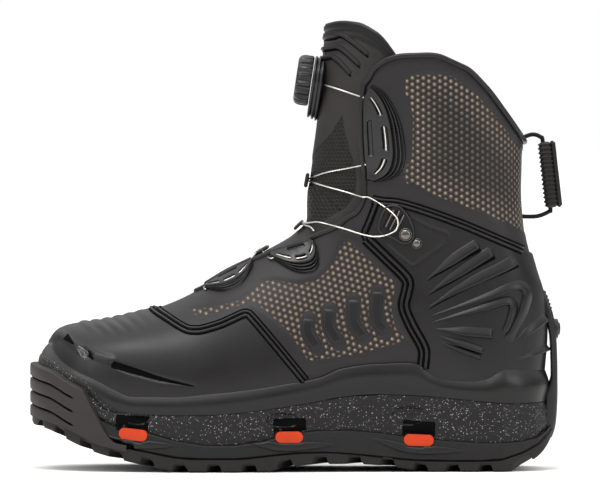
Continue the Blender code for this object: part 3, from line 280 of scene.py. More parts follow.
def smooth_line(points, step, closed=False):
    """A rounded line through corners, with even steps in mm."""
    p = np.asarray(points, float)
    n = len(p)
    dense = []
    for i in range(n if closed else n - 1):
        if closed:
            a, b, c, d = p[(i - 1) % n], p[i], p[(i + 1) % n], p[(i + 2) % n]
        else:
            a, b, c, d = p[max(i - 1, 0)], p[i], p[i + 1], p[min(i + 2, n - 1)]
        t = np.linspace(0, 1, 16, endpoint=False)[:, None]
        dense.append(0.5 * (2 * b + (c - a) * t + (2 * a - 5 * b + 4 * c - d) * t ** 2
                            + (3 * b - a - 3 * c + d) * t ** 3))
    dense = np.concatenate(dense + [p[:1] if closed else p[-1:]])
    run = np.concatenate([[0], np.cumsum(np.linalg.norm(np.diff(dense, axis=0), axis=1))])
    count = max(3, int(round(run[-1] / step)) + 1)
    at = np.linspace(0, run[-1], count)
    return np.stack([np.interp(at, run, dense[:, k]) for k in range(p.shape[1])], -1)


def from_line(s, z, line):
    """Distance in mm from each place to a line in side view."""
    best = np.full(np.shape(s), 1e9)
    for a, b in zip(line[:-1], line[1:]):
        d = b - a
        t = np.clip(((s - a[0]) * d[0] + (z - a[1]) * d[1]) / max(float(d @ d), 1e-9), 0, 1)
        best = np.minimum(best, np.hypot(s - a[0] - t * d[0], z - a[1] - t * d[1]))
    return best


def inside(s, z, shape):
    """Signed distance in mm to a closed shape in side view, positive inside."""
    ring = np.concatenate([shape, shape[:1]])
    odd = np.zeros(np.shape(s), bool)
    for a, b in zip(ring[:-1], ring[1:]):
        crosses = (a[1] > z) != (b[1] > z)
        at = a[0] + (z - a[1]) * (b[0] - a[0]) / (b[1] - a[1] if b[1] != a[1] else 1e-9)
        odd ^= crosses & (s < at)
    return np.where(odd, 1, -1) * from_line(s, z, ring)


def ease(x, low, high):
    """0 below low, 1 above high, with a soft step between."""
    t = np.clip((np.asarray(x, float) - low) / (high - low), 0, 1)
    return t * t * (3 - 2 * t)


# %% [markdown]
# ## Pieces from points
# A boot's skin is a grid of points. It could be shaped by hand in Edit Mode, but a grid made from
# arrays keeps every measure, so each piece is built from its points and faces at once. It is then told
# which solids it stands for and given its material.


# %% Mesh pieces
def piece(name, points, faces, material, node_names=(), values=None):
    """A mesh piece of the boot in mm, on the root body, standing for the CAD nodes it is given."""
    mesh = bpy.data.meshes.new(name)
    points = (np.asarray(points, float) + SHIFT) * MM
    faces = np.asarray(faces)
    mesh.vertices.add(len(points))
    mesh.vertices.foreach_set("co", points.astype(np.float32).ravel())
    mesh.loops.add(faces.size)
    mesh.loops.foreach_set("vertex_index", faces.ravel().astype(np.int32))
    mesh.polygons.add(len(faces))
    mesh.polygons.foreach_set("loop_start", np.arange(0, faces.size, faces.shape[1], dtype=np.int32))
    mesh.update(calc_edges=True)
    mesh.validate()
    for key, value in (values or {}).items():
        carried = mesh.attributes.new(key, "FLOAT", "POINT")
        carried.data.foreach_set("value", np.asarray(value, np.float32).ravel())
    ob = bpy.data.objects.new(name, mesh)
    bpy.context.scene.collection.objects.link(ob)
    mesh.shade_smooth()
    mesh.materials.append(material)
    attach(ob, "root")
    if node_names:
        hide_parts(*node_names)
    print(name, "faces:", len(faces))
    return ob


def grid_faces(rows, columns, flip=False):
    """Quads over a grid of points, row by row."""
    i, j = np.meshgrid(np.arange(rows - 1), np.arange(columns - 1), indexing="ij")
    k = (i * columns + j).ravel()
    f = np.stack([k, k + columns, k + columns + 1, k + 1], -1)
    return f[:, ::-1] if flip else f


def ring_faces(rings, columns, flip=False):
    """Quads between closed rings of points, ring by ring."""
    i, k = np.meshgrid(np.arange(rings - 1), np.arange(columns), indexing="ij")
    here, there, m = i * columns, (i + 1) * columns, (k + 1) % columns
    f = np.stack([here + k, here + m, there + m, there + k], -1).reshape(-1, 4)
    return f[:, ::-1] if flip else f


def grid_normals(p, side):
    """Outward normals of a grid of points on one side of the last."""
    n = np.cross(np.gradient(p, axis=0), np.gradient(p, axis=1)) * -side
    return n / np.maximum(np.linalg.norm(n, axis=-1), 1e-9)[..., None]


class Parts:
    """Collects points and quads, so that many small forms become one piece."""

    def __init__(self):
        self.points, self.faces, self.count = [], [], 0

    def add(self, points, faces):
        """Put one more form beside the others."""
        points = np.asarray(points, float).reshape(-1, 3)
        self.points.append(points)
        self.faces.append(np.asarray(faces) + self.count)
        self.count += len(points)

    def make(self, name, material, node_names=(), slot=None):
        """Turn all that was collected into one piece."""
        points, faces = np.concatenate(self.points), np.concatenate(self.faces)
        return piece(name, points, faces, material, node_names)


# %% [markdown]
# ## The camera
# A boot seen from close by would show its near side larger than its far side. This camera stands 4.5 m
# away, one degree above level, and its long lens makes the picture's width that of the photograph.

# %% Camera
SENSOR_WIDTH, PICTURE_WIDTH, PICTURE_MIDDLE = 36, 600, [300, 248]
camera = bpy.data.objects.new("camera", bpy.data.cameras.new("camera"))
bpy.context.scene.collection.objects.link(camera)
bpy.context.scene.camera = camera
DISTANCE = 4.5
camera.data.lens = SENSOR_WIDTH * DISTANCE / (PICTURE_WIDTH * PIXEL * MM)
camera.data.clip_end = 60
aim = Vector((mm(PICTURE_MIDDLE) + SHIFT[0::2]) * MM)
TILT = math.radians(1.0)
camera.location = (aim[0], -DISTANCE * math.cos(TILT), aim[1] + DISTANCE * math.sin(TILT))
camera.rotation_euler = (math.pi / 2 - TILT, 0, 0)
print("lens:", round(camera.data.lens, 1))

# %% [markdown]
# ## Finishes
# Near-black materials are told apart by gloss, not by colour: rubber is half dull, film has a soft
# sheen, moulded nylon shines on its ridges, foam is half matt with pale flecks. Each is a Principled
# shader with the values of the real material. Colours are written as sRGB hex values and one function
# turns them to linear, and another adds each node with its settings and links.


# %% Colours and nodes
def colour(code):
    """An sRGB hex value as the linear colour a shader takes."""
    rgb = [int(code[i:i + 2], 16) / 255 for i in (1, 3, 5)]
    return tuple(c / 12.92 if c <= 0.04045 else ((c + 0.055) / 1.055) ** 2.4 for c in rgb) + (1.0,)


def add(tree, kind, settings=(), links=()):
    """Add a node; settings are properties or input values, links feed its inputs."""
    made = tree.nodes.new(kind)
    for key, value in dict(settings).items():
        if isinstance(key, str) and hasattr(made, key):
            setattr(made, key, value)
        else:
            made.inputs[key].default_value = value
    for key, socket in dict(links).items():
        tree.links.new(socket, made.inputs[key])
    return made


def finish(name, base, roughness, metallic=0.0, **sockets):
    """A new material with its Principled shader; sockets are set on the shader itself."""
    m = bpy.data.materials.new(name)
    m.use_nodes = True
    shader = m.node_tree.nodes["Principled BSDF"]
    shader.inputs["Base Color"].default_value = colour(base)
    shader.inputs["Roughness"].default_value = roughness
    shader.inputs["Metallic"].default_value = metallic
    for key, value in sockets.items():
        shader.inputs[key.replace("_", " ")].default_value = value
    m.diffuse_color = colour(base)
    return m, m.node_tree, shader


PATCH = 45.0


def grain(tree, shader, size_mm, depth_mm, tones=None, rough=None):
    """Moulded or worn grain: fine noise moves the surface, noise in patches its tone and its gloss."""
    place = add(tree, "ShaderNodeTexCoord")
    noise = add(tree, "ShaderNodeTexNoise", {"Scale": 1000 / size_mm, "Detail": 3.0},
                {"Vector": place.outputs["Object"]})
    bump = add(tree, "ShaderNodeBump", {"Strength": 1.0, "Distance": depth_mm * MM},
               {"Height": noise.outputs["Fac"]})
    tree.links.new(bump.outputs["Normal"], shader.inputs["Normal"])
    broad = add(tree, "ShaderNodeTexNoise", {"Scale": 1000 / PATCH, "Detail": 4.0},
                {"Vector": place.outputs["Object"]})
    if tones:
        mix = add(tree, "ShaderNodeMix", {"data_type": "RGBA", 6: colour(tones[0]), 7: colour(tones[1])},
                  {0: broad.outputs["Fac"]})
        tree.links.new(mix.outputs[2], shader.inputs["Base Color"])
    if rough:
        span = add(tree, "ShaderNodeMapRange", {1: 0.3, 2: 0.7, 3: rough[0], 4: rough[1]},
                   {0: broad.outputs["Fac"]})
        tree.links.new(span.outputs[0], shader.inputs["Roughness"])


# %% [markdown]
# ### Rubber, plastic and metal
# These parts are moulded, rolled or drawn, so each has one colour and a fine grain. The grain is noise
# of a real size in millimetres that moves the surface. Patches of 45 mm change the tone and the gloss
# a little, as handling does. An image would need each piece unwrapped, and noise doesn't.

# %% Rubber, plastic and metal
# carbon rubber from a rough mould: half dull, a little brown
TREAD, tree, shader = finish("moulded_carbon_rubber", "#161413", 0.6, Specular_IOR_Level=0.3)
grain(tree, shader, 0.9, 0.12, tones=("#110f0f", "#1e1a18"), rough=(0.5, 0.7))
# the same rubber sanded at the toe: paler and duller
SANDED, tree, shader = finish("sanded_toe_rubber", "#262322", 0.62, Specular_IOR_Level=0.3)
grain(tree, shader, 0.8, 0.18, tones=("#201d1c", "#302c2a"), rough=(0.5, 0.72))
# polyurethane from a smooth mould: a soft wide highlight
FRAME, tree, shader = finish("moulded_polyurethane", "#131212", 0.42, Specular_IOR_Level=0.3)
grain(tree, shader, 0.6, 0.06, tones=("#0e0d0e", "#181617"), rough=(0.34, 0.5))
# rubber rolled between steel rolls: the glossiest of the rubbers
RAND, tree, shader = finish("calendered_rubber", "#131212", 0.36, Specular_IOR_Level=0.3)
grain(tree, shader, 1.4, 0.05, tones=("#0f0e0e", "#181717"), rough=(0.3, 0.42))
# nylon from a polished mould: bright thin lines along its ridges
NYLON, tree, shader = finish("moulded_nylon", "#111011", 0.3, Specular_IOR_Level=0.42)
grain(tree, shader, 0.5, 0.03, tones=("#0d0c0d", "#181617"), rough=(0.24, 0.36))
# acetal coloured right through: deep orange with an even gloss
ORANGE, tree, shader = finish("moulded_acetal_orange", "#c03408", 0.4, Specular_IOR_Level=0.3)
grain(tree, shader, 0.8, 0.03, tones=("#ad2d06", "#c43a0a"), rough=(0.3, 0.42))
# steel blackened in an oxide bath: a dark mirror
STEEL, tree, shader = finish("blackened_steel", "#676461", 0.22, 1.0)
grain(tree, shader, 0.4, 0.03, tones=("#585552", "#75716d"), rough=(0.18, 0.3))
# bare strands of steel: the brightest line on the boot
LACE, tree, shader = finish("stranded_steel_wire", "#dedbd4", 0.3, 1.0)
grain(tree, shader, 0.7, 0.12, tones=("#c8c5be", "#efece6"), rough=(0.24, 0.38))
# polyester brushed to a nap: no highlight, a faint edge glow
LINING, tree, shader = finish("brushed_polyester", "#232121", 0.95, Sheen_Weight=0.3)
grain(tree, shader, 0.7, 0.15, tones=("#1d1b1b", "#2b2928"))
# tightly woven polyester: dull, its threads only seen as a rough grain
WEBBING, tree, shader = finish("woven_polyester", "#121011", 0.75, Specular_IOR_Level=0.2, Sheen_Weight=0.05)
grain(tree, shader, 0.8, 0.2, tones=("#0e0c0d", "#1a1718"))
print("materials so far:", len(bpy.data.materials))

# %% [markdown]
# ### Foam with flecks
# The midsole is ethylene-vinyl acetate foam with ground pale foam moulded in. The flecks are 0.4 to
# 0.9 mm across and of no even shape. Painting them would need an image, so three cell patterns of
# different sizes are used: noise bends the cells, and only some of the cells keep their fleck.

# %% Flecked foam
# foam from a heated mould: half matt and pitted, its flecks the palest thing on the sole
FOAM, tree, shader = finish("flecked_eva_foam", "#121011", 0.55, Specular_IOR_Level=0.3)
place = add(tree, "ShaderNodeTexCoord")
stain = None
# cell size in mm, where the fleck starts and ends in shares of it, and how many cells stay empty
for size, low, high, rare in ((1.6, 0.15, 0.2, 0.55), (3.0, 0.09, 0.14, 0.6), (1.0, 0.16, 0.22, 0.6)):
    wobble = add(tree, "ShaderNodeTexNoise", {"Scale": 1000 / 0.9, "Detail": 1.0},
                 {"Vector": place.outputs["Object"]})
    move = add(tree, "ShaderNodeMix", {"data_type": "VECTOR", 0: 0.0008},
               {4: place.outputs["Object"], 5: wobble.outputs["Color"]})
    bits = add(tree, "ShaderNodeTexVoronoi", {"Scale": 1000 / size}, {"Vector": move.outputs[1]})
    fleck = add(tree, "ShaderNodeMapRange", {1: high, 2: low, 3: 0.0, 4: 1.0}, {0: bits.outputs["Distance"]})
    pick = add(tree, "ShaderNodeSeparateColor", {}, {0: bits.outputs["Color"]})
    keep = add(tree, "ShaderNodeMath", {"operation": "GREATER_THAN", 1: rare}, {0: pick.outputs[0]})
    both = add(tree, "ShaderNodeMath", {"operation": "MULTIPLY"}, {0: fleck.outputs[0], 1: keep.outputs[0]})
    if stain is None:
        stain = both
    else:
        stain = add(tree, "ShaderNodeMath", {"operation": "MAXIMUM"},
                    {0: stain.outputs[0], 1: both.outputs[0]})
mix = add(tree, "ShaderNodeMix", {"data_type": "RGBA", 6: colour("#121011"), 7: colour("#9b9896")},
          {0: stain.outputs[0]})
tree.links.new(mix.outputs[2], shader.inputs["Base Color"])
pores = add(tree, "ShaderNodeTexNoise", {"Scale": 1000 / 0.8, "Detail": 2.0},
            {"Vector": place.outputs["Object"]})
bump = add(tree, "ShaderNodeBump", {"Strength": 0.6, "Distance": 0.15 * MM}, {"Height": pores.outputs["Fac"]})
tree.links.new(bump.outputs["Normal"], shader.inputs["Normal"])
print("nodes of the foam:", len(tree.nodes))

# %% [markdown]
# ### Laminated upper
# The upper is one cloth with a thin polyurethane film pressed on. The film has one window on the side
# and one on the shaft, and there the cloth shows its pale raised beads, set in a honeycomb 3.9 mm
# apart, each painted lighter at its middle as a highlight, with painted shade in the holes between them.
# An image could carry such a cloth, but the boot's surface bends too much to unwrap it evenly.
# So the mesh carries two lengths, round the boot and up it, and the nodes set the beads by them. It
# also carries the distance to each window's edge, which gives a sharp edge from smooth values.


# %% Beads in rows
BEAD_PITCH, STITCH_PITCH = 3.9, 2.6


def cells(tree, pitch, place):
    """Distance from the nearest centre of a honeycomb, in shares of the pitch."""
    size = add(tree, "ShaderNodeVectorMath", {"operation": "SCALE", "Scale": 1.0 / pitch}, {0: place})
    found = []
    for dx, dy in ((0.0, 0.0), (0.5, math.sqrt(3) / 2)):
        moved = add(tree, "ShaderNodeVectorMath", {"operation": "ADD", 1: (dx, dy, 0)}, {0: size.outputs[0]})
        limits = {1: (0.5, math.sqrt(3) / 2, 1), 2: (-0.5, -math.sqrt(3) / 2, 0)}
        wrap = add(tree, "ShaderNodeVectorMath", {"operation": "WRAP", **limits}, {0: moved.outputs[0]})
        level_off = add(tree, "ShaderNodeVectorMath", {"operation": "MULTIPLY", 1: (1, 1, 0)},
                        {0: wrap.outputs[0]})
        found.append(add(tree, "ShaderNodeVectorMath", {"operation": "LENGTH"}, {0: level_off.outputs[0]}))
    return add(tree, "ShaderNodeMath", {"operation": "MINIMUM"},
               {0: found[0].outputs["Value"], 1: found[1].outputs["Value"]})


# %% Film-laminated cloth
# film over cloth: a soft sheen, and the beads of the cloth glint where the film is cut out, with a painted
# highlight at each bead's middle
UPPER, tree, shader = finish("film_laminated_cloth", "#141213", 0.45, Specular_IOR_Level=0.3)
carried = {key: add(tree, "ShaderNodeAttribute", {"attribute_name": key}).outputs["Fac"]
           for key in ("around", "height", "side_window", "shaft_window")}
spread = add(tree, "ShaderNodeCombineXYZ", {}, {0: carried["around"], 1: carried["height"]})
place = add(tree, "ShaderNodeTexCoord")
patch = add(tree, "ShaderNodeTexNoise", {"Scale": 1000 / 30.0, "Detail": 4.0},
            {"Vector": place.outputs["Object"]})
shown = add(tree, "ShaderNodeMix", {"data_type": "RGBA", 6: colour("#161415"), 7: colour("#232021")},
            {0: patch.outputs["Fac"]}).outputs[2]
# away from its edge the shaft's window is darker
deep = add(tree, "ShaderNodeMapRange", {1: 6.0, 2: 18.0, 3: 0.0, 4: 0.8},
           {0: carried["shaft_window"]}).outputs[0]
heights = []
for key, lean in (("side_window", 78.0), ("shaft_window", 90.0)):
    window = add(tree, "ShaderNodeMapRange", {1: 0.9, 2: 1.3}, {0: carried[key]}).outputs[0]
    leaning = add(tree, "ShaderNodeVectorRotate", {"rotation_type": "Z_AXIS", "Angle": math.radians(lean)},
                  {0: spread.outputs[0]})
    bead = cells(tree, BEAD_PITCH, leaning.outputs[0]).outputs[0]
    dome = add(tree, "ShaderNodeMapRange", {"interpolation_type": "SMOOTHSTEP", 1: 0.32, 2: 0.04},
               {0: bead}).outputs[0]
    hole = add(tree, "ShaderNodeMapRange", {1: 0.36, 2: 0.46}, {0: bead}).outputs[0]
    is_bead = add(tree, "ShaderNodeMapRange", {1: 0.31, 2: 0.25}, {0: bead}).outputs[0]
    # the holes between the beads are painted near black: painted shade
    ground = add(tree, "ShaderNodeMix", {"data_type": "RGBA", 6: colour("#3a302a"), 7: colour("#0d0b0a")},
                 {0: hole}).outputs[2]
    # each bead is painted lighter towards its middle: a painted highlight over its pale tone
    bead_tone_and_highlight = add(tree, "ShaderNodeMix", {"data_type": "RGBA", 6: colour("#42382f"), 7: colour("#8f8375")},
               {0: dome}).outputs[2]
    if key == "shaft_window":
        ground = add(tree, "ShaderNodeMix", {"data_type": "RGBA", 7: colour("#0b0909")},
                     {0: deep, 6: ground}).outputs[2]
        shade = add(tree, "ShaderNodeMath", {"operation": "MULTIPLY", 1: 0.85}, {0: deep}).outputs[0]
        bead_tone_and_highlight = add(tree, "ShaderNodeMix", {"data_type": "RGBA", 7: colour("#332c27")},
                   {0: shade, 6: bead_tone_and_highlight}).outputs[2]
    cloth = add(tree, "ShaderNodeMix", {"data_type": "RGBA"}, {0: is_bead, 6: ground, 7: bead_tone_and_highlight}).outputs[2]
    shown = add(tree, "ShaderNodeMix", {"data_type": "RGBA"}, {0: window, 6: shown, 7: cloth}).outputs[2]
    heights.append(add(tree, "ShaderNodeMath", {"operation": "MULTIPLY"}, {0: dome, 1: window}).outputs[0])
tree.links.new(shown, shader.inputs["Base Color"])
both = add(tree, "ShaderNodeMath", {"operation": "ADD"}, {0: heights[0], 1: heights[1]}).outputs[0]
pressed = add(tree, "ShaderNodeTexNoise", {"Scale": 1000 / 0.8, "Detail": 2.0},
              {"Vector": place.outputs["Object"]})
relief = add(tree, "ShaderNodeMath", {"operation": "MULTIPLY_ADD", 1: 0.06},
             {0: pressed.outputs["Fac"], 2: both})
bump = add(tree, "ShaderNodeBump", {"Strength": 1.0, "Distance": 0.7 * MM}, {"Height": relief.outputs[0]})
tree.links.new(bump.outputs["Normal"], shader.inputs["Normal"])
gloss = add(tree, "ShaderNodeMapRange", {3: 0.5, 4: 0.3}, {0: both})
tree.links.new(gloss.outputs[0], shader.inputs["Roughness"])
glint = add(tree, "ShaderNodeMapRange", {1: 0.1, 2: 0.7, 3: 0.0, 4: 0.75}, {0: both})
tree.links.new(glint.outputs[0], shader.inputs["Metallic"])
print("nodes of the laminate:", len(tree.nodes))

# %% [markdown]
# ### Films and the knit
# The toe and the heel are covered by a smooth polyurethane film, pressed on hot. The narrow channels
# between films, and other grooves and hollows, get black matt bars of painted shade, so they read as
# dark lines. The tongue is a padded knit with a window of open loops 2.6 mm apart. The beads' honeycomb
# serves for these too.

# %% Films
# polyurethane film from a heated press: even, with a soft sheen
FILM, tree, shader = finish("pressed_urethane_film", "#141213", 0.38, Specular_IOR_Level=0.3)
grain(tree, shader, 0.8, 0.04, tones=("#100e0f", "#191717"), rough=(0.32, 0.46))
# painted shade for channels, grooves and hollows: black and without a highlight
PAINTED_SHADE, tree, shader = finish("painted_shade_matt", "#070707", 0.85, Specular_IOR_Level=0.04)
grain(tree, shader, 1.0, 0.05)
# the same film pressed against a polished plate: it mirrors the sky
GLOSS, tree, shader = finish("polished_urethane", "#141313", 0.2, Specular_IOR_Level=0.6)
grain(tree, shader, 2.0, 0.03, tones=("#100f0f", "#1a1919"), rough=(0.15, 0.24))

# %% Knit of the tongue
# knitted polyester over foam: dull, with painted shade, near black, in the holes between the loops
TONGUE_CLOTH, tree, shader = finish("padded_knit", "#141213", 0.5, Specular_IOR_Level=0.25)
carried = {key: add(tree, "ShaderNodeAttribute", {"attribute_name": key}).outputs["Fac"]
           for key in ("around", "height", "knit", "row")}
place = add(tree, "ShaderNodeTexCoord")
broad = add(tree, "ShaderNodeTexNoise", {"Scale": 1000 / 40.0, "Detail": 4.0},
            {"Vector": place.outputs["Object"]})
plain = add(tree, "ShaderNodeMix", {"data_type": "RGBA", 6: colour("#1c1919"), 7: colour("#2a2626")},
            {0: broad.outputs["Fac"]})
spread = add(tree, "ShaderNodeCombineXYZ", {}, {0: carried["around"], 1: carried["height"]})
loops = cells(tree, STITCH_PITCH, spread.outputs[0])
hole = add(tree, "ShaderNodeMapRange", {1: 0.22, 2: 0.40}, {0: loops.outputs[0]})
knit = add(tree, "ShaderNodeMapRange", {1: -0.2, 2: 0.2}, {0: carried["knit"]})
# the holes between the loops are painted near black: painted shade
yarn = add(tree, "ShaderNodeMix", {"data_type": "RGBA", 6: colour("#020202"), 7: colour("#161312")},
           {0: hole.outputs[0]})
shown = add(tree, "ShaderNodeMix", {"data_type": "RGBA"},
            {0: knit.outputs[0], 6: plain.outputs[2], 7: yarn.outputs[2]})
# the rubber edge at the top of the tongue is darker than the knit
top = add(tree, "ShaderNodeMapRange", {1: 19.60, 2: 19.64}, {0: carried["row"]})
shown = add(tree, "ShaderNodeMix", {"data_type": "RGBA", 7: colour("#070707")},
            {0: top.outputs[0], 6: shown.outputs[2]})
tree.links.new(shown.outputs[2], shader.inputs["Base Color"])
raised = add(tree, "ShaderNodeMath", {"operation": "MULTIPLY"}, {0: hole.outputs[0], 1: knit.outputs[0]})
bump = add(tree, "ShaderNodeBump", {"Strength": 1.0, "Distance": 0.4 * MM}, {"Height": raised.outputs[0]})
tree.links.new(bump.outputs["Normal"], shader.inputs["Normal"])
print("materials:", len(bpy.data.materials))

# %% [markdown]
# ## Finishes for the solids
# Some solids stay in sight, such as the tabs and the lace keepers, and a finer piece later stands
# for the others. Each solid gets its finish by the start of its name, and where two starts fit, the
# later one holds. Edges sharper than 38 degrees are split, so that the rest can be shaded smooth.

# %% Finish the solids
SHARP = math.radians(38)
for name, ob in NODES.items():
    for start, material in (
            ("outsole", TREAD), ("outsole_frame", FRAME), ("midsole", FOAM), ("insole", LINING),
            ("rand", RAND), ("upper", UPPER), ("toe_cap", FILM), ("heel_counter", FILM), ("lock_tab", ORANGE),
            ("guide_", NYLON), ("lace_", LACE), ("rivet", STEEL), ("ankle", WEBBING), ("dial", NYLON),
            ("tongue", TONGUE_CLOTH), ("tongue_ring", NYLON), ("front_", NYLON), ("heel_strap", WEBBING),
            ("heel_peg", NYLON), ("pull_grip", NYLON), ("pull_strip", FRAME), ("pull_cord", WEBBING)):
        if name.startswith(start):
            ob.data.materials.clear()
            ob.data.materials.append(material)
    ob.data.shade_smooth()
    edges = ob.modifiers.new("edges", "EDGE_SPLIT")
    edges.split_angle = SHARP
print("solids with a finish:", len(NODES))

# %% [markdown]
# ## The upper
# On the real boot one cloth wraps the last and is open down the front for the tongue. A subdivided box
# would need many points moved by hand to reach that shape, so a fine grid is laid over the measured
# sections of the last instead. Its points are about 1.35 mm apart, however the last bends.


# %% Grids over the last
def even(low, high, measure, step, keep=()):
    """Values from low to high with measured gaps of about one step; the kept ones are among them."""
    ends = sorted({low, high, *[k for k in keep if low < k < high]})
    out = [ends[0]]
    for a, b in zip(ends, ends[1:]):
        t = np.linspace(a, b, 160)
        run = np.concatenate([[0], np.cumsum(measure(t[:-1], t[1:]))])
        n = max(1, int(math.ceil(run[-1] / step)))
        out += list(np.interp(np.linspace(0, run[-1], n + 1)[1:], run, t))
    return np.array(out)


def grid_over(a0, a1, r0, r1, at, step, keep=(0.0,), rise=COLLAR_RISE):
    """Rows and places that lay an even grid over a part of the last."""
    r = np.linspace(r0, r1, 14)
    a = np.linspace(a0, a1, 14)

    def gap(row_from, place_from, row_to, place_to):
        """Distances on the last between two places on it."""
        start = last_point(row_from, at(row_from, place_from), LATERAL, rise)
        end = last_point(row_to, at(row_to, place_to), LATERAL, rise)
        return np.linalg.norm(end - start, axis=-1)

    def by_row(u, v):
        return gap(u[:, None], r, v[:, None], r).mean(1)

    def by_place(u, v):
        return gap(a[:, None], u, a[:, None], v).mean(0)

    return even(a0, a1, by_row, step, keep), even(r0, r1, by_place, step, (1.0,))


def upper_place(a, r):
    """Places from the foot, 0, over the widest, 1, to the throat edge or ridge, 2."""
    return np.where(r <= 1, r, 1 + (throat(a) - 1) * (r - 1))


def drape(rows, places, at, height, sides=(LATERAL, MEDIAL), rise=COLLAR_RISE, lowest=None, inward=False):
    """A skin over the last, moved out by a height in mm. Both sides share the toe line, ridge and back.
    Cells wholly below the lowest height are left out. Returns points, faces and, for each point, its
    place along the boot, its height, the length round the boot, its row and its place on the row."""
    a, r = np.meshgrid(rows, places, indexing="ij")
    q = at(a, r)
    n, m = a.shape
    shared = ((a <= 1e-9) | (q >= 2 - 1e-7) | ((q <= 1e-9) & (a >= HEEL_ROW - 1e-9))).ravel()
    found, info, heights = [], [], []
    for side in sides:
        p = last_point(a, q, side, rise)
        h = height(p[..., 0], p[..., 2], a, q, side)
        step = np.hypot(*np.moveaxis(np.diff(p[..., :2], axis=1), -1, 0))
        run = np.concatenate([np.zeros((n, 1)), np.cumsum(step, axis=1)], 1)
        one = int(np.argmin(np.abs(places - min(1.0, places[-1]))))
        around = p[:, one:one + 1, 0] - (run - run[:, one:one + 1])
        around = np.where(a >= HEEL_ROW, around, p[..., 0])
        heights.append(h.ravel())
        info.append(np.stack([p[..., 0], p[..., 2], around, a, q], -1).reshape(-1, 5))
        found.append((p + grid_normals(p, side) * h[..., None]).reshape(-1, 3))
    faces = []
    for k, side in enumerate(sides):
        f = grid_faces(n, m, side == MEDIAL)
        if lowest is not None:
            f = f[(heights[k][f] > lowest).any(1)]
        faces.append(f + k * n * m)
    if len(sides) == 2:
        mean = (found[0] + found[1]) / 2
        for k in (0, 1):
            found[k] = np.where(shared[:, None], mean, found[k])
        second = np.where(shared, np.arange(n * m), np.arange(n * m) + n * m)
        faces[1] = second[faces[1] - n * m]
    points, info, faces = np.concatenate(found), np.concatenate(info), np.concatenate(faces)
    used = np.unique(faces)
    back = np.zeros(len(points), int)
    back[used] = np.arange(len(used))
    faces = back[faces]
    return points[used], faces[:, ::-1] if inward else faces, info[used]


# %% [markdown]
# ### Windows in the film
# Where the film is cut out, the cloth lies half a millimetre lower. Holes cut into the mesh would have
# ragged edges, so the grid stays whole: its height steps down in the windows, and the material draws
# the edge from the distance that each point carries. Four smooth bars cross the window on the side.

# %% Windows in the film
SIDE_WINDOW = mm([(189, 306), (193, 314), (205, 315.5), (237, 306.5), (252, 301), (266, 311), (287, 330),
                  (306, 358), (312, 360), (355, 354), (378, 348), (403, 341), (405, 335), (396, 325),
                  (392, 307), (396, 286), (394, 278), (385, 271), (369, 257), (354, 243), (347, 238),
                  (339, 242), (335, 254), (328, 266), (316, 277), (298, 281), (287, 279), (272, 276),
                  (259, 280), (250, 289), (238, 297), (215, 303.5)])
SHAFT_WINDOW = mm([(402, 92), (403, 78), (412, 74), (447, 73.5), (457, 79), (476, 93), (498, 118),
                   (530, 158), (530, 236), (509, 225), (496, 220), (480, 213), (448, 202), (428, 194),
                   (416, 186), (404, 185), (401, 175), (402, 166), (409, 158), (410, 119), (407, 103),
                   (403, 96)])
BARS = [[(308.5, 316.5), (308, 330), (317, 346)], [(329, 307), (329, 325), (338.5, 341)],
        [(353, 298), (353, 320), (363, 336)], [(377, 290), (376, 318), (385, 330)]]
BAR_LINES = [smooth_line(mm(b), 2.0) for b in BARS]


def side_window(s, z):
    """Signed distance in mm into the dotted window, without its four smooth bars."""
    d = inside(s, z, SIDE_WINDOW)
    for b in BAR_LINES:
        d = np.minimum(d, from_line(s, z, b) - 3.6)
    return d


def upper_height(s, z, a, q, side):
    """The cloth sinks in the windows and its top edge rolls in."""
    depth = 0.5 * ease(side_window(s, z), -0.4, 0.7) + 0.5 * ease(inside(s, z, SHAFT_WINDOW), -0.4, 0.9)
    roll = 0.8 * ease(a, 19.2, 20.0)
    return -depth - roll


rows, places = grid_over(0, LAST_ROW, 0, 2, upper_place, 1.35, (THROAT_START, HEEL_ROW))
points, faces, info = drape(rows, places, upper_place, upper_height)
s, z, around = info.T[:3]
upper = piece("upper_cloth", points, faces, UPPER, ("upper",),
              {"side_window": side_window(s, z), "shaft_window": inside(s, z, SHAFT_WINDOW),
               "around": around, "height": z})


# %% Skin to lay things on
def skin_tree(points, faces):
    """A surface on which rays and nearest points are looked up."""
    return BVHTree.FromPolygons([tuple(p) for p in points], [tuple(int(i) for i in f) for f in faces])


def skin_of(*objects):
    """The same from pieces that are already made, in mm on the boot."""
    points, faces = [], []
    for ob in objects:
        start = len(points)
        points += [np.array(v.co) / MM - SHIFT for v in ob.data.vertices]
        faces += [[v + start for v in f.vertices] for f in ob.data.polygons]
    return skin_tree(points, faces)


SKIN = skin_tree(points, faces)
print("faces to lay things on:", len(faces))

# %% [markdown]
# ### Lining
# The inside is a brushed cloth that shows at the collar. Giving the upper a thickness would double
# its fine grid, so the lining is a grid of its own, coarser and one wall further in.

# %% Lining
rows, places = grid_over(0, LAST_ROW, 0, 2, upper_place, 4.0, (THROAT_START, HEEL_ROW))
points, faces, info = drape(rows, places, upper_place, lambda s, z, a, q, side: -WALL + 0 * s, inward=True)
piece("upper_lining", points, faces, LINING, ())


# %% [markdown]
# ### Cords and bars on a surface
# Welts, ribs and bars lie on the upper and follow its bends. A curve object with a bevel would need its
# points set on the surface by hand. Here each line is drawn in side view, a ray from the side finds
# the surface under every point, and a round or flat section is built on it.


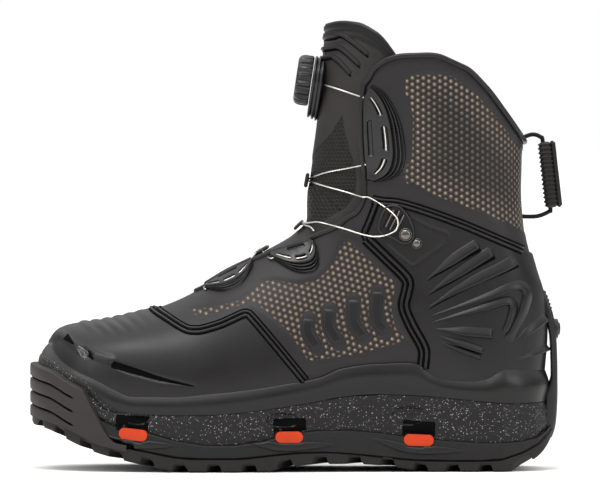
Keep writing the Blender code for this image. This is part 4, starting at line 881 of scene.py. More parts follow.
# %% Things laid on the upper
def project(s, z, side, skin=None):
    """Where a straight look from the side meets the upper, and the outward normal there."""
    skin = skin or SKIN
    spots, normals = [], []
    for a, b in zip(np.ravel(s), np.ravel(z)):
        for nudge in (0.0, 0.04, -0.06):  # a look exactly along an edge can slip through
            start = Vector((a + nudge, side * 200.0, b + nudge))
            spot, normal = skin.ray_cast(start, Vector((0, -side, 0)))[:2]
            if spot is not None:
                break
        else:
            spot, normal = skin.find_nearest(Vector((a, side * 5.0, b)))[:2]
        spots.append(spot)
        normals.append(normal if normal.y * side > -0.2 else -normal)
    return np.array(spots), np.array(normals)


def tube(parts, line, radius, normals=None, segments=8, closed=False, lift=0.0):
    """A round cord along points; radius may be a list."""
    line = np.asarray(line, float)
    n = len(line)
    radius = np.broadcast_to(np.asarray(radius, float), (n,))
    along = np.gradient(line, axis=0)
    if closed:
        along = np.roll(line, -1, 0) - np.roll(line, 1, 0)
    along /= np.maximum(np.linalg.norm(along, axis=1), 1e-9)[:, None]
    if normals is None:
        normals = np.zeros_like(line)
        v = np.cross(along[0], (0.0, 1.0, 0.05))
        for i in range(n):
            v = v - along[i] * (v @ along[i])
            v = v / max(np.linalg.norm(v), 1e-9)
            normals[i] = v
    across = np.cross(along, normals)
    across /= np.maximum(np.linalg.norm(across, axis=1), 1e-9)[:, None]
    up = np.cross(across, along)
    t = np.linspace(0, 2 * math.pi, segments, endpoint=False)
    ring = (line + up * lift)[:, None] + radius[:, None, None] * (
        across[:, None] * np.cos(t)[None, :, None] + up[:, None] * np.sin(t)[None, :, None])
    i, k = np.meshgrid(np.arange(n if closed else n - 1), np.arange(segments), indexing="ij")
    j, m = (i + 1) % n, (k + 1) % segments
    f = np.stack([i * segments + k, j * segments + k, j * segments + m, i * segments + m], -1).reshape(-1, 4)
    points = ring.reshape(-1, 3)
    if not closed:
        caps = []
        for base, turn in ((0, 1), ((n - 1) * segments, -1)):
            points = np.concatenate([points, ring.reshape(-1, 3)[base:base + segments].mean(0)[None]])
            c = len(points) - 1
            for k in range(0, segments, 2):
                q = (c, base + k, base + (k + 1) % segments, base + (k + 2) % segments)
                caps.append(q if turn > 0 else q[::-1])
        f = np.concatenate([f, np.array(caps)])
    parts.add(points, f)


def shifted(line, offset):
    """A side-view line moved sideways by an offset in mm."""
    d = np.gradient(line, axis=0)
    d /= np.maximum(np.linalg.norm(d, axis=1), 1e-9)[:, None]
    return line + np.stack([-d[:, 1], d[:, 0]], -1) * offset


def welt(parts, places, offsets, radius, sides=(LATERAL, MEDIAL), lift=0.1, step=1.6):
    """Parallel raised cords laid on the upper along a line of the picture."""
    line = smooth_line(mm(places), step)
    for side in sides:
        for o in offsets:
            track = shifted(line, o)
            spots, normals = project(track[:, 0], track[:, 1], side, COVER)
            tube(parts, spots, radius, normals, lift=lift)


def plank(parts, places, half, height, sides=(LATERAL, MEDIAL), step=1.2, sharp=0.0, skin=None):
    """A raised bar laid on a surface. Its half-width and height in mm may follow its length, and sharp
    moves its crest to one side."""
    line = smooth_line(mm(places), step)
    across = shifted(line, 1) - line
    n = len(line)
    t = np.linspace(0, 1, n)
    half = half(t) if callable(half) else np.full(n, float(half))
    tall = height(t) if callable(height) else np.full(n, float(height))
    u = np.array([-1.15, -1.0, -0.86, -0.6, -0.2, 0.2, 0.6, 0.86, 1.0, 1.15])
    shape = np.array([-0.4, 0.1, 0.72, 0.95, 1.0, 1.0, 0.95, 0.72, 0.1, -0.4])
    if sharp > 0:
        shape = np.array([-0.3, 0.0, 0.16, 0.36, 0.62, 0.86, 1.0, 0.9, 0.2, -0.4])
    if sharp < 0:
        shape = np.array([-0.4, 0.2, 0.9, 1.0, 0.86, 0.62, 0.36, 0.16, 0.0, -0.3])
    grid = np.stack([line + across * (x * half)[:, None] for x in u], 1)
    end = np.minimum(ease(t, -0.02, 0.06), 1 - ease(t, 0.96, 1.01))
    h = (shape[None] * tall[:, None]) * end[:, None] - 0.25 * (1 - end[:, None])
    for side in sides:
        spots, normals = project(grid[..., 0], grid[..., 1], side, skin)
        spots, normals = spots.reshape(n, len(u), 3), normals.reshape(n, len(u), 3)
        soft = normals.mean(1, keepdims=True)
        soft = soft / np.linalg.norm(soft, axis=-1, keepdims=True)
        parts.add(spots + soft * h[..., None], grid_faces(n, len(u), side == LATERAL))


# %% [markdown]
# ## Films pressed over the upper
# The toe and the heel are covered by a thicker film. Each is the same skin, lifted a little where the
# film lies and dipped below the cloth outside it, so the place where it comes up is a clean line.

# %% Toe film
TOE_LINE = [(152, 306), (156, 309), (166, 315), (186, 326.5), (197, 328.2), (206, 326.8), (223, 321.4),
            (240, 313.5), (247, 311.6), (253, 316), (278, 345), (305, 378)]
TOE_SHAPE = mm([(10, 440), (10, 290), (152, 290)] + TOE_LINE + [(305, 440)])
FILM_LIFT, SUNK = GAP + 1.2, 0.5
# each ridge from one end to the other, and its height in mm
TOE_RIDGES = [((82, 324), (100, 338), 1.0), ((93, 322.5), (117, 340), 1.0), ((104, 320.5), (130, 340), 0.9),
              ((115, 318), (140, 337), 0.8), ((126, 315), (148, 332), 0.65), ((136, 311.5), (156, 327), 0.5)]
NOTCH = mm([(80, 347), (86, 345.5), (96, 353), (94, 359), (86, 356)])
DIMPLE = mm([(112, 361), (117, 360.3), (135, 366), (165, 375.5), (196, 383), (160, 378.5), (130, 370.5),
             (114, 364)])
CREST = smooth_line(mm([(52, 342), (62, 335), (76, 344), (96, 353.5), (113, 359)]), 1.5)


def toe_height(s, z, a, q, side):
    """The toe film with its short ridges, its notch, its dimple and the crest over them."""
    h = -SUNK + (FILM_LIFT + SUNK) * ease(inside(s, z, TOE_SHAPE), -0.6, 0.6)
    for one, two, tall in TOE_RIDGES:
        bent = ((one[0] + two[0]) / 2 + 1.5, (one[1] + two[1]) / 2 - 1.5)
        line = smooth_line(mm([one, bent, two]), 2.0)
        far = from_line(s, z, line)
        along = ease(np.hypot(s - line[-1][0], z - line[-1][1]), 0, 12)
        h = h + tall * (1 - ease(far, 0.3, 2.6)) * along
    h = h - 1.6 * ease(inside(s, z, NOTCH), -0.8, 2.0)
    h = h - 2.2 * ease(inside(s, z, DIMPLE), -0.9, 1.2)
    h = h + 0.9 * (1 - ease(from_line(s, z, CREST), 0.4, 3.6))
    return h


rows, places = grid_over(0, 8.3, 0, 2, upper_place, 0.95, (THROAT_START,))
points, faces, info = drape(rows, places, upper_place, toe_height, lowest=-0.45)
toe_film = piece("toe_film", points, faces, FILM, ("toe_cap",))

TOE_SKIN = skin_tree(points, faces)

# %% [markdown]
# ### Heel film
# The film at the heel holds the foot back in the boot. It is drawn as the toe film is, with a shallow
# channel that marks the plate under the lace anchor.

# %% Heel film
HEEL_LINE = [(366, 238), (384, 255.4), (402, 273), (407, 281), (405.5, 291), (403, 305), (410, 323),
             (421, 343), (423, 352), (421.5, 366)]
ANKLE_LINE = [(372, 199), (382, 201), (398, 202.5), (424, 210), (460, 223), (492, 236.5), (521, 249),
              (540, 256)]
FRONT_EDGE = [(376, 201), (368, 222), (364, 232), (366, 238)]
BEYOND_HEEL = [(421.5, 440), (620, 440), (620, 262), (540, 257)]
HEEL_SHAPE = mm(HEEL_LINE + BEYOND_HEEL + ANKLE_LINE[-2::-1] + FRONT_EDGE[1:3])
PLATE = mm([(388, 205), (430, 227), (446, 232), (446, 241), (414, 264), (410, 264), (386, 244)])


def heel_height(s, z, a, q, side):
    """The heel film with the channel round its plate."""
    h = -SUNK + (FILM_LIFT + SUNK) * ease(inside(s, z, HEEL_SHAPE), -0.6, 0.6)
    plate = inside(s, z, PLATE)
    return h - 0.45 * (1 - ease(np.abs(plate), 0.2, 0.9))


rows, places = grid_over(8.6, 17.6, 0, 1.97, upper_place, 1.0, (HEEL_ROW,))
points, faces, info = drape(rows, places, upper_place, heel_height, lowest=-0.45)
heel_film = piece("heel_film", points, faces, FILM, ("heel_counter",))

COVER = skin_of(upper, toe_film, heel_film)

# %% [markdown]
# ### Ribs and dark places
# Stiff ribs spread over the heel film, with black bars of painted shade below the upper three, where
# their undercuts fall in shadow. The toe has a slit, a notch and a small facet, too narrow for the grid
# to carve. The slit and the notch are flat bars in the colour of their shadow, painted shade, and the
# facet a polished one, because a bar keeps a clean edge where a carved groove would break up.

# %% Ribs of the heel
ribs = Parts()
# places along each rib and its half-width in mm
RIBS = [([(424.2, 278.8), (450, 259), (476, 242)], 2.6), ([(425.5, 293.3), (458, 270), (490.3, 249.5)], 2.7),
        ([(424.8, 307.3), (462, 284), (500, 266), (514, 258)], 2.8),
        ([(426, 315.2), (487, 294), (510, 285), (521, 285), (526, 294), (520, 314), (506.5, 340)], 2.4),
        ([(428.5, 321), (483, 305), (503, 299.5), (510, 301), (512, 307.3), (509, 320), (503.6, 333)], 2.2),
        ([(432, 326.5), (460, 329), (491.5, 331.5)], 2.6), ([(435.8, 333), (460, 341), (482, 348.5)], 1.9),
        ([(439, 340), (460, 348), (479.4, 355)], 1.5),
        ([(511, 342.4), (528, 328), (545, 316)], 2.0), ([(513, 359.4), (530, 352), (548, 346)], 1.7)]
for line, wide in RIBS:
    plank(ribs, line, lambda t, w=wide: 0.4 + (1.25 * w - 0.4) * ease(t, 0.0, 0.6),
          lambda t: 0.3 + 1.9 * ease(t, 0, 0.5), sharp=-1, skin=COVER)
ribs.make("heel_ribs", FILM, (), "film_overlay")
# black bars of painted shade under the upper three ribs, where their undercuts fall in shadow
undercut_shades = Parts()
for line, wide in RIBS[:3]:
    low = [(x + 4.0 * k, y + 5.6 * k) for (x, y), k in zip(line, np.linspace(0.22, 1, len(line)))]
    plank(undercut_shades, low, lambda t: 0.2 + 1.0 * ease(t, 0.0, 0.5), 0.25, skin=COVER)
undercut_shades.make("rib_undercut_shade", PAINTED_SHADE, (), "film_overlay")

# %% Slit, notch and facet of the toe
TOE_DARK = [([(112.5, 361.8), (135, 367.8), (165, 376.8), (196, 383.4)], 2.3),
            ([(88.5, 350), (95.5, 358)], 2.0), ([(66, 335), (75.5, 343)], 2.4)]
# the slit and the notch are flat black bars of painted shade laid over the film
toe_shade_bars = Parts()
for line, half in TOE_DARK:
    plank(toe_shade_bars, line, lambda t, w=half: w * (1 - 0.82 * t), 0.4, skin=COVER, step=0.8)
toe_shade_bars.make("toe_painted_shade", PAINTED_SHADE, (), "film_overlay")
facet = Parts()
plank(facet, [(77.5, 347), (84, 351), (89.5, 355.5)], 2.6, 0.7, sharp=1, skin=TOE_SKIN, step=0.8)
facet.make("toe_facet", GLOSS, (), "film_overlay")

# %% [markdown]
# ## Welts
# Two narrow cords side by side mark the edge of a film on the vamp, at the heel and round the ankle, and
# one runs up the front edge. Thin black cords of painted shade lie in the channels beside them. Painted
# lines would have no highlight, so each welt is a cord laid on the upper.

# %% Welts and bars
# the second collection holds thin black cords of painted shade for the channels
welts, channel_shades = Parts(), Parts()
welt(welts, TOE_LINE, (-1.2, 1.2), 0.95, lift=0.1)
welt(channel_shades, TOE_LINE, (-2.35, 0.0), 0.65, lift=0.1)
welt(channel_shades, TOE_LINE[1:], (2.35,), 0.65, lift=0.1)
welt(welts, HEEL_LINE, (-1.5, 1.5), 1.1, lift=0.1)
welt(channel_shades, HEEL_LINE, (-3.0, 0.0, 3.0), 0.85, lift=0.1)
welt(welts, ANKLE_LINE[:-1], (-1.15, 1.15), 0.9, lift=0.1)
welt(channel_shades, ANKLE_LINE[:-1], (-2.3, 0.0, 2.3), 0.7, lift=0.1)
welt(channel_shades, FRONT_EDGE, (-1.5, 1.5), 0.8, lift=0.1)
welt(welts, FRONT_EDGE, (0.0,), 1.1, lift=0.2)
welts.make("film_welts", FILM, (), "film_overlay")
channel_shades.make("welt_channel_shade", PAINTED_SHADE, (), "film_overlay")

# %% Bars over the side window
bars = Parts()
for b in BARS:
    plank(bars, b, 3.3, 0.75)
bars.make("side_bars", FILM, (), "film_overlay")

# %% [markdown]
# ### Bound edges
# The cut edge of the cloth is bound with a narrow tape, up the throat, round the collar and down again.
# The tape shows as a round bead, so a cord of 1.75 mm radius follows the edge of the last.

# %% Bound edges of the collar and throat
BINDING = 1.75
binding = Parts()
last_row = np.full(150, float(LAST_ROW))
for side in (LATERAL, MEDIAL):
    a = np.linspace(THROAT_START + 0.1, LAST_ROW, 190)
    edge = last_point(a, throat(a), side)
    top = last_point(last_row, upper_place(last_row, np.linspace(2, 0, 150)), side)
    line = np.concatenate([edge, top[1:]])
    tube(binding, smooth_line(line, 1.8)[2:], BINDING, segments=10)
binding.make("edge_binding", FILM, (), "film_overlay")

# %% [markdown]
# ## The tongue
# A padded tongue rises above the collar. Three bent bars and a rubber edge are moulded at its top, and a
# knitted window runs down its front. A cushion of this shape could be simulated, but its foam keeps
# it halfway between slack and tight. So a face and a back are laid over the last, and the height of
# the face draws the bars, the edge and the window.

# %% Tongue
TONGUE_FACE = -WALL - 0.9
TONGUE_TOP_RISE = [(0.0, 0.0), (0.5, 0.0), (0.56, 0.02), (0.63, 0.070), (0.69, 0.102), (0.735, 0.113),
                   (0.80, 0.1155), (0.88, 0.1035), (0.94, 0.088), (1.0, 0.066)]
TONGUE_BARS = [[(322, 38.5), (334, 37), (344, 36.5), (368.5, 55.5)],
               [(320, 49.5), (332, 48), (341, 49), (360, 66)],
               [(320, 59), (328, 57), (334.5, 58), (351, 74.5)]]
TONGUE_BAR_LINES = [smooth_line(mm(b), 1.5) for b in TONGUE_BARS]
KNIT = mm([(339, 114.5), (341, 131), (350, 158), (354.2, 179), (352, 195), (344, 206), (318, 220.5),
           (300, 226), (296, 206), (296, 179), (306, 158), (312, 147), (327.8, 132.8)])


def tongue_place(a, r):
    """Places from under the throat edge, 0, to the ridge, 1."""
    lap = 0.16 + 0.04 * np.clip(a - 16, 0, 4) / 4
    e = np.minimum(throat(a), 1.9) - lap
    return e + (2 - e) * r


def tongue_height(s, z, a, q, side):
    """The tongue's face with its bars, its rubber edge and the sunken knit."""
    h = TONGUE_FACE + 0 * s
    for b in TONGUE_BAR_LINES:
        h = h + 0.7 * (1 - ease(from_line(s, z, b), 0.8, 2.6))
    h = h + 0.9 * ease(a, 19.60, 19.66) - 0.8 * (1 - ease(np.abs(a - 19.80), 0.02, 0.05))
    return h - 0.5 * ease(inside(s, z, KNIT), -0.4, 0.8)


rows, places = grid_over(5.3, LAST_ROW, 0, 1, tongue_place, 0.9, (), TONGUE_TOP_RISE)
points, faces, info = drape(rows, places, tongue_place, tongue_height, rise=TONGUE_TOP_RISE)
s, z, around, row = info.T[:4]
piece("tongue_face", points, faces, TONGUE_CLOTH, ("tongue",),
      {"knit": inside(s, z, KNIT), "row": row, "around": around, "height": z})
TONGUE_SKIN = skin_tree(points, faces)

# %% Back of the tongue
rows, places = grid_over(5.3, LAST_ROW, 0, 1, tongue_place, 3.0, (), TONGUE_TOP_RISE)
points, faces, info = drape(rows, places, tongue_place, lambda s, z, a, q, side: TONGUE_FACE - TONGUE + 0 * s,
                            rise=TONGUE_TOP_RISE, inward=True)
piece("tongue_back", points, faces, LINING, ())

# %% Bars and roll at the top of the tongue
bars, crease_shades = Parts(), Parts()
for b in TONGUE_BARS:
    plank(bars, b, 1.15, 1.25, skin=TONGUE_SKIN)
    # under each bar a thin black bar of painted shade
    plank(crease_shades, [(x, y + 2.9) for x, y in b], 0.6, 0.35, skin=TONGUE_SKIN)
bars.make("tongue_bars", TONGUE_CLOTH, (), "film_overlay")
crease_shades.make("tongue_crease_shade", PAINTED_SHADE, (), "film_overlay")
# the roll closes the top edge halfway between the face and the back
ROLL_INSET = 4.9
roll = Parts()
for side in (LATERAL, MEDIAL):
    r = np.linspace(0, 1, 60)
    a = np.full(60, float(LAST_ROW))
    out = last_point(a, tongue_place(a, r), side, TONGUE_TOP_RISE)
    inward = np.stack([np.mean(out[:, 0]) + 22 - out[:, 0], -out[:, 1], 0 * r], -1)
    inward /= np.linalg.norm(inward, axis=1)[:, None]
    tube(roll, smooth_line(out + inward * ROLL_INSET, 1.5), BINDING, segments=10)
roll.make("tongue_roll", FILM, (), "film_overlay")

# %% [markdown]
# ## Rubber round the foot
# The rand is a band of rubber glued over the foot of the upper. Its lower edge follows the foam and
# its upper edge leans on the cloth. A band lofted between two curves would cut through the upper where
# it bulges, so each section starts at the foam and ends where a level ray meets the cloth.

# %% Rand
RAND_THICK = 1.9
rand, low_s = [], []
for side in (LATERAL, MEDIAL):
    for v in (np.linspace(0, 3, 300) if side == LATERAL else np.linspace(3, 0, 300)[1:-1]):
        s0, y0, ds, dy = (float(c) for c in inset_point(v, side, 4.2))
        low = np.array([s0, y0, float(rim(s0)) + GAP])
        inward = np.array([ds, dy, 0.0])
        s1 = s0
        for _ in range(7):  # the edge's height depends on where it ends, so the place is found in steps
            z1 = float(rand_top(s1))
            spot = SKIN.ray_cast(Vector((s0 - 40 * ds, y0 - 40 * dy, z1)), Vector((ds, dy, 0)))[0]
            if spot is None:
                spot = Vector((s0 + 6 * ds, y0 + 6 * dy, z1))
            s1 = (s1 + spot.x) / 2
        high = np.array([spot.x, spot.y, z1])
        tall = high[2] - low[2]
        section = []
        for t in np.linspace(0, 1, 13):
            p = low * (1 - t) + (high - inward * RAND_THICK) * t
            p = p - inward * (0.16 * tall * math.sin(math.pi * min(1.0, t * 1.02)) * (0.35 + 0.65 * t))
            p[2] = low[2] + tall * t
            section.append(p)
        for lift, back in ((0.5, 1.6), (0.75, 1.0), (0.7, 0.2), (0.1, -1.0)):
            section.append(high + np.array([0, 0, lift]) - inward * back)
        rand.append(section)
        low_s.append(s0)
rand, low_s = np.array(rand), np.array(low_s)
n, m = rand.shape[:2]
closed = np.concatenate([rand, rand[:1]])
piece("rand_band", closed.reshape(-1, 3), grid_faces(n + 1, m), RAND, ("rand",))

# %% [markdown]
# ### Lugged tread
# The tread is a slab of rubber moulded with slanted lugs, 20 mm apart and 4.2 mm tall. Cutting each gap
# with a Boolean would need some forty cutters that follow the curve of the sole. Here each row of
# points runs from the middle line to the edge and up the wall, and the gaps lift the underside.

# %% Tread
LUG_PITCH, LUG_DEPTH, MIDDLE_GAP = 20.0, 4.2, 3.0
share = np.linspace(0, 1, 44)
halves = []
for side in (LATERAL, MEDIAL):
    v = np.linspace(0, 3, 520)
    s0, y0, ds, dy = inset_point(v, side, 0.5)
    mid = centre(s0)
    y = mid[:, None] + (y0 - mid)[:, None] * share[None]
    s = s0[:, None] + 0 * y
    across = np.abs(y - mid[:, None])
    phase = np.mod((s + 0.45 * across + (6 if side == MEDIAL else 0)) / LUG_PITCH, 1.0)
    lug = ease(phase, 0.02, 0.10) * (1 - ease(phase, 0.62, 0.72))
    lug = lug * ease(across, MIDDLE_GAP, MIDDLE_GAP + 1.5)
    lug = np.maximum(lug, 1 - ease(np.minimum(s, SOLE_LENGTH - s), 3.0, 6.0))
    low = tread_bottom(s) + LUG_DEPTH * (1 - lug)
    low[:, -1] += 1.1
    grid = [np.stack([s, y, low], -1)]
    foot, top = low[:, -1], tread_top(s0) - 0.2
    out = 0.3 * lug[:, -1] + 0.25
    for t in np.linspace(0.05, 1, 8):
        z = foot + (top - foot) * t
        grid.append(np.stack([s0 - ds * out, y0 - dy * out, z], -1)[:, None])
    for inward, lift in ((0.6, 0.25), (6.0, 0.3)):
        grid.append(np.stack([s0 + ds * inward, y0 + dy * inward, top + lift], -1)[:, None])
    halves.append(np.concatenate(grid, 1))
tread = Parts()
for grid, side in zip(halves, (LATERAL, MEDIAL)):
    tread.add(grid, grid_faces(*grid.shape[:2], side == MEDIAL))
tread_piece = tread.make("lugged_tread", TREAD, ("outsole",), "tread_rubber")
edges = tread_piece.modifiers.new("edges", "EDGE_SPLIT")
edges.split_angle = math.radians(40)

# %% [markdown]
# ### Foam lip and toe bumper
# At the toe the foam swells out under the rand, up to 5 mm high. The sole's rubber runs up in front of it
# as a bumper with level grooves 8.3 mm apart, sanded dull. Both are lofted from sections round the toe,
# because a bevel on the solid couldn't follow its changing height. Black cords of painted shade lie in the
# grooves, where hardly any light comes in.

# %% Foam lip at the toe
FOAM_LIP = [(0.0, 4.2), (22.0, 4.6), (34.0, 5.0), (44.0, 3.6), (54.0, 0.2)]
TOE_MIDDLE = np.array([60.0, 6.0])
keep = np.where(low_s < 54)[0]
lip = rand[np.concatenate([keep[keep > n // 2], keep[keep <= n // 2]])]
low, high = lip[:, 0], lip[:, 12]
tall = np.clip(curve(FOAM_LIP, low[:, 0]) / np.maximum(high[:, 2] - low[:, 2], 1.0), 0.02, 0.9)
section, whole = [], np.arange(len(lip))
for share, out in ((-0.05, 0.5), (0.3, 0.75), (0.6, 0.85), (0.85, 0.75), (0.97, 0.45), (1.0, -0.2)):
    t = np.clip(tall * share, 0, 1) * 12
    i = np.minimum(t.astype(int), 11)
    p = lip[whole, i] * (1 - (t - i))[:, None] + lip[whole, i + 1] * (t - i)[:, None]
    away = p[:, :2] - TOE_MIDDLE
    away /= np.linalg.norm(away, axis=1)[:, None]
    section.append(p + np.concatenate([away * out, np.full((len(p), 1), share * 0.4 - 0.4)], 1))
section = np.stack(section, 1)
piece("foam_toe_lip", section.reshape(-1, 3), grid_faces(*section.shape[:2]), FOAM, ())

# %% Ribbed toe bumper
RIB_PITCH, RIB_OUT, GROOVE, ROUND = 8.3, 1.1, 1.6, 0.8
strip = np.concatenate([np.linspace(1.02, 0.02, 90), [0.0], np.linspace(0.02, 1.02, 90)])
sides = np.concatenate([np.full(91, LATERAL), np.full(90, MEDIAL)])
bumper, groove_lines = [], {}
for v, side in zip(strip, sides):
    s0, y0, ds, dy = (float(c) for c in inset_point(v, side, 0.0))
    top = float(bumper_top(s0)) - 2.4 * (1 - float(ease(s0, 1.0, 16.0)))
    foot = float(tread_top(s0)) - 1.8
    ribbed = 1 - float(ease(s0, 24, 29))
    last_groove = (top - foot) / RIB_PITCH - 0.3
    section = []
    for z in np.linspace(foot, top - ROUND, 70):
        g = (top - z) / RIB_PITCH
        near = abs(g - round(g)) * RIB_PITCH
        groove = (1 - float(ease(near, 0.45, 1.1))) * ribbed * (1 if 0.5 < g < last_groove else 0)
        out = RIB_OUT - GROOVE * groove + 0.25 * math.sin(math.pi * (g % 1)) * ribbed
        section.append((s0 - ds * out, y0 - dy * out, z))
    for k in range(1, 5):
        if k < last_groove and ribbed > 0.1:
            groove_lines.setdefault(k, []).append((s0 + ds * 0.35, y0 + dy * 0.35, top - RIB_PITCH * k))
    for k in range(1, 7):
        t = k / 6 * math.pi / 2
        out = RIB_OUT - 2.6 * (1 - math.cos(t))
        section.append((s0 - ds * out, y0 - dy * out, top - ROUND + 1.1 * math.sin(t)))
    for back in (3.0, 6.5):
        section.append((s0 + ds * back, y0 + dy * back, top + 0.3))
    bumper.append(section)
bumper = np.array(bumper)
piece("toe_bumper", bumper.reshape(-1, 3), grid_faces(*bumper.shape[:2], True), SANDED, ())
# black cords of painted shade at the bottom of each groove
groove_shades = Parts()
for groove_line in groove_lines.values():
    tube(groove_shades, np.array(groove_line), 0.55, segments=6)
groove_shades.make("bumper_groove_shade", PAINTED_SHADE, (), "tread_rubber")

# %% [markdown]
# ### Frame lips and scoops
# The frame swells into a lens under each orange tab, and the foam is scooped out over it. The solids
# are plain there, so a lens and a black patch of painted shade for the hollow are laid on them, as the ribs
# are laid on the heel.

# %% Lips and scoops
SOLE_SKIN = skin_of(NODES["outsole_frame"], NODES["midsole"])
# the middle of each tab and how far the frame leans there, in degrees
TABS = [(134, 431, 3.5), (290, 433.8, -2.0), (417.7, 436.8, 3.0)]
LIP = [(-46, 1.0), (-30, 4.6), (-14, 8.2), (4, 9.2), (24, 8.8), (44, 8.4)]
lips, scoop_shades = Parts(), Parts()
for x, y, lean in TABS:
    slope = math.tan(math.radians(lean))
    line = [(x + d, y + d * slope + drop) for d, drop in LIP]
    plank(lips, line, lambda t: 0.5 + 2.6 * np.sin(np.pi * np.clip(t, 0, 1)) ** 0.8,
          lambda t: 0.5 + 1.3 * np.sin(np.pi * t), skin=SOLE_SKIN)
    # a flat black bar of painted shade stands for the hollow over the tab
    line = [(x + d, y - 11.0 + d * slope) for d in (-17, 0, 17)]
    plank(scoop_shades, line, 4.6, 0.3, skin=SOLE_SKIN)
lips.make("frame_lips", FRAME, (), "frame_rubber")
scoop_shades.make("foam_scoop_shade", PAINTED_SHADE, (), "midsole_foam")

# %% [markdown]
# ## Lace guides
# The steel lace runs through moulded nylon guides at the edge of the throat. Each is a lens-shaped
# plate with a slot in three parts, where the wire shows, and three raised lines round it on the film.
# A slot cut with a Boolean would have sharp edges, and a moulding has round ones, so each guide is a
# fine grid whose height sinks in the slot and rises in the lines.

# %% Guides
# first and last row on the last, gap to the throat edge, reach over the upper
GUIDE_ROWS = [("vamp", 6.25, 7.6, 0.015, 0.16), ("instep", 8.15, 9.95, 0.02, 0.19),
              ("shaft", 15.75, 19.45, 0.02, 0.185)]
WIRE = 0.5
# where the slot's three parts start and end along the guide
SLOTS = [(0.10, 0.30), (0.40, 0.62), (0.72, 0.90)]


def lens(x):
    """The width of a guide along its length, full in the middle."""
    return np.maximum(0.0, 1 - np.abs(2 * np.clip(x, 0, 1) - 1) ** 2.4)


def guide_grid(row, x, w, side):
    """Points and normals on the last for shares along and across a guide."""
    a0, a1, inset, reach = row[1:]
    a = a0 + (a1 - a0) * x
    p = last_point(a, throat(a) - inset - (0.05 + reach * lens(x)) * w, side)
    return p, -grid_normals(p, side)


def slot_line(x):
    """Where the slot runs across a guide."""
    return 0.56 * lens(x) ** 0.45


inner = Parts()
for row in GUIDE_ROWS:
    plates = Parts()
    for side in (LATERAL, MEDIAL):
        x, w = np.meshgrid(np.linspace(-0.03, 1.03, 120), np.linspace(-0.07, 1.07, 110), indexing="ij")
        p, n = guide_grid(row, x, w, side)
        edge = np.minimum(np.minimum(ease(x, -0.02, 0.015), 1 - ease(x, 0.985, 1.02)),
                          np.minimum(ease(w, -0.06, 0.03), 1 - ease(w, 0.95, 1.05)))
        body = 1 - ease(w, 0.70, 0.75)
        h = -0.4 + (GAP + 1.5 + 1.3 * body) * edge
        for k in (0.81, 0.90, 0.99):  # the three raised lines, each with a channel before it
            h = h + 1.1 * (1 - ease(np.abs(w - k), 0.010, 0.030)) * edge
            h = h - 0.9 * (1 - ease(np.abs(w - k + 0.045), 0.006, 0.022)) * edge
        h = h + 0.5 * (1 - ease(np.abs(w - 0.03), 0.02, 0.06)) * edge
        path = slot_line(x)
        for low, high in SLOTS:
            part = ease(x, low - 0.01, low + 0.015) * (1 - ease(x, high - 0.015, high + 0.01))
            h = h - 2.0 * part * (1 - ease(np.abs(w - path), 0.05, 0.09))
        low_line = 1 - ease(np.abs(w - 0.17), 0.04, 0.08)
        h = h - 1.6 * ease(x, 0.3, 0.32) * (1 - ease(x, 0.68, 0.70)) * low_line
        plates.add(p + n * h[..., None], grid_faces(*x.shape, side == LATERAL))
        t = np.linspace(0.02, 0.98, 90)
        x = np.stack([t, t])
        w = np.stack([slot_line(t), slot_line(t) + 0.03])
        p, n = guide_grid(row, x, w, side)
        n = np.where(((n[0][:, 1] * side) < 0)[:, None], -n[0], n[0])
        tube(inner, p[0] + n * 1.7, WIRE, n)  # the wire is seen in the slot
    plates.make("guide_plates_" + row[0], NYLON, ("guide_%s_lateral" % row[0], "guide_%s_medial" % row[0]),
                "guide_plastic")
inner.make("guide_wires", LACE, (), "lace_wire")

# %% [markdown]
# ## The lace
# One stranded steel wire, 1.0 mm thick, zigzags from the dial to the toe. A cloth or rope simulation
# would find its way too, but a taut wire hardly sags. So each run is a smooth curve over the tongue,
# from a keeper on the middle line to a guide, through a few places where the wire is seen.

# %% Lace runs
def middle(a, lift):
    """A point over the middle line of the last."""
    p, q = last_point(a, 2.0, LATERAL), last_point(a + 0.05, 2.0, LATERAL)
    along = q - p
    n = np.array([along[2], 0.0, -along[0]])
    n = n / np.linalg.norm(n)
    return p + (n if n[0] < 0 or n[2] > 0.5 else -n) * lift


WIDE_SKIN = skin_of(upper, toe_film, heel_film, bpy.data.objects["tongue_face"])


def run(parts, start, places, lift):
    """A lace run from a point through places of the picture, lifted in mm, on both sides of the boot."""
    for side in (LATERAL, MEDIAL):
        track = mm(places)
        spots, normals = project(track[:, 0], track[:, 1], side, WIDE_SKIN)
        knots = [p + n * h for p, n, h in zip(spots, normals, lift)]
        if start is not None:
            knots = [np.array(start)] + knots
        tube(parts, smooth_line(np.array(knots), 0.9), WIRE, segments=8)


ring_spot, hook_spot, loop_spot = middle(13.0, -1.5), middle(9.55, 0.0), middle(7.9, 0.0)
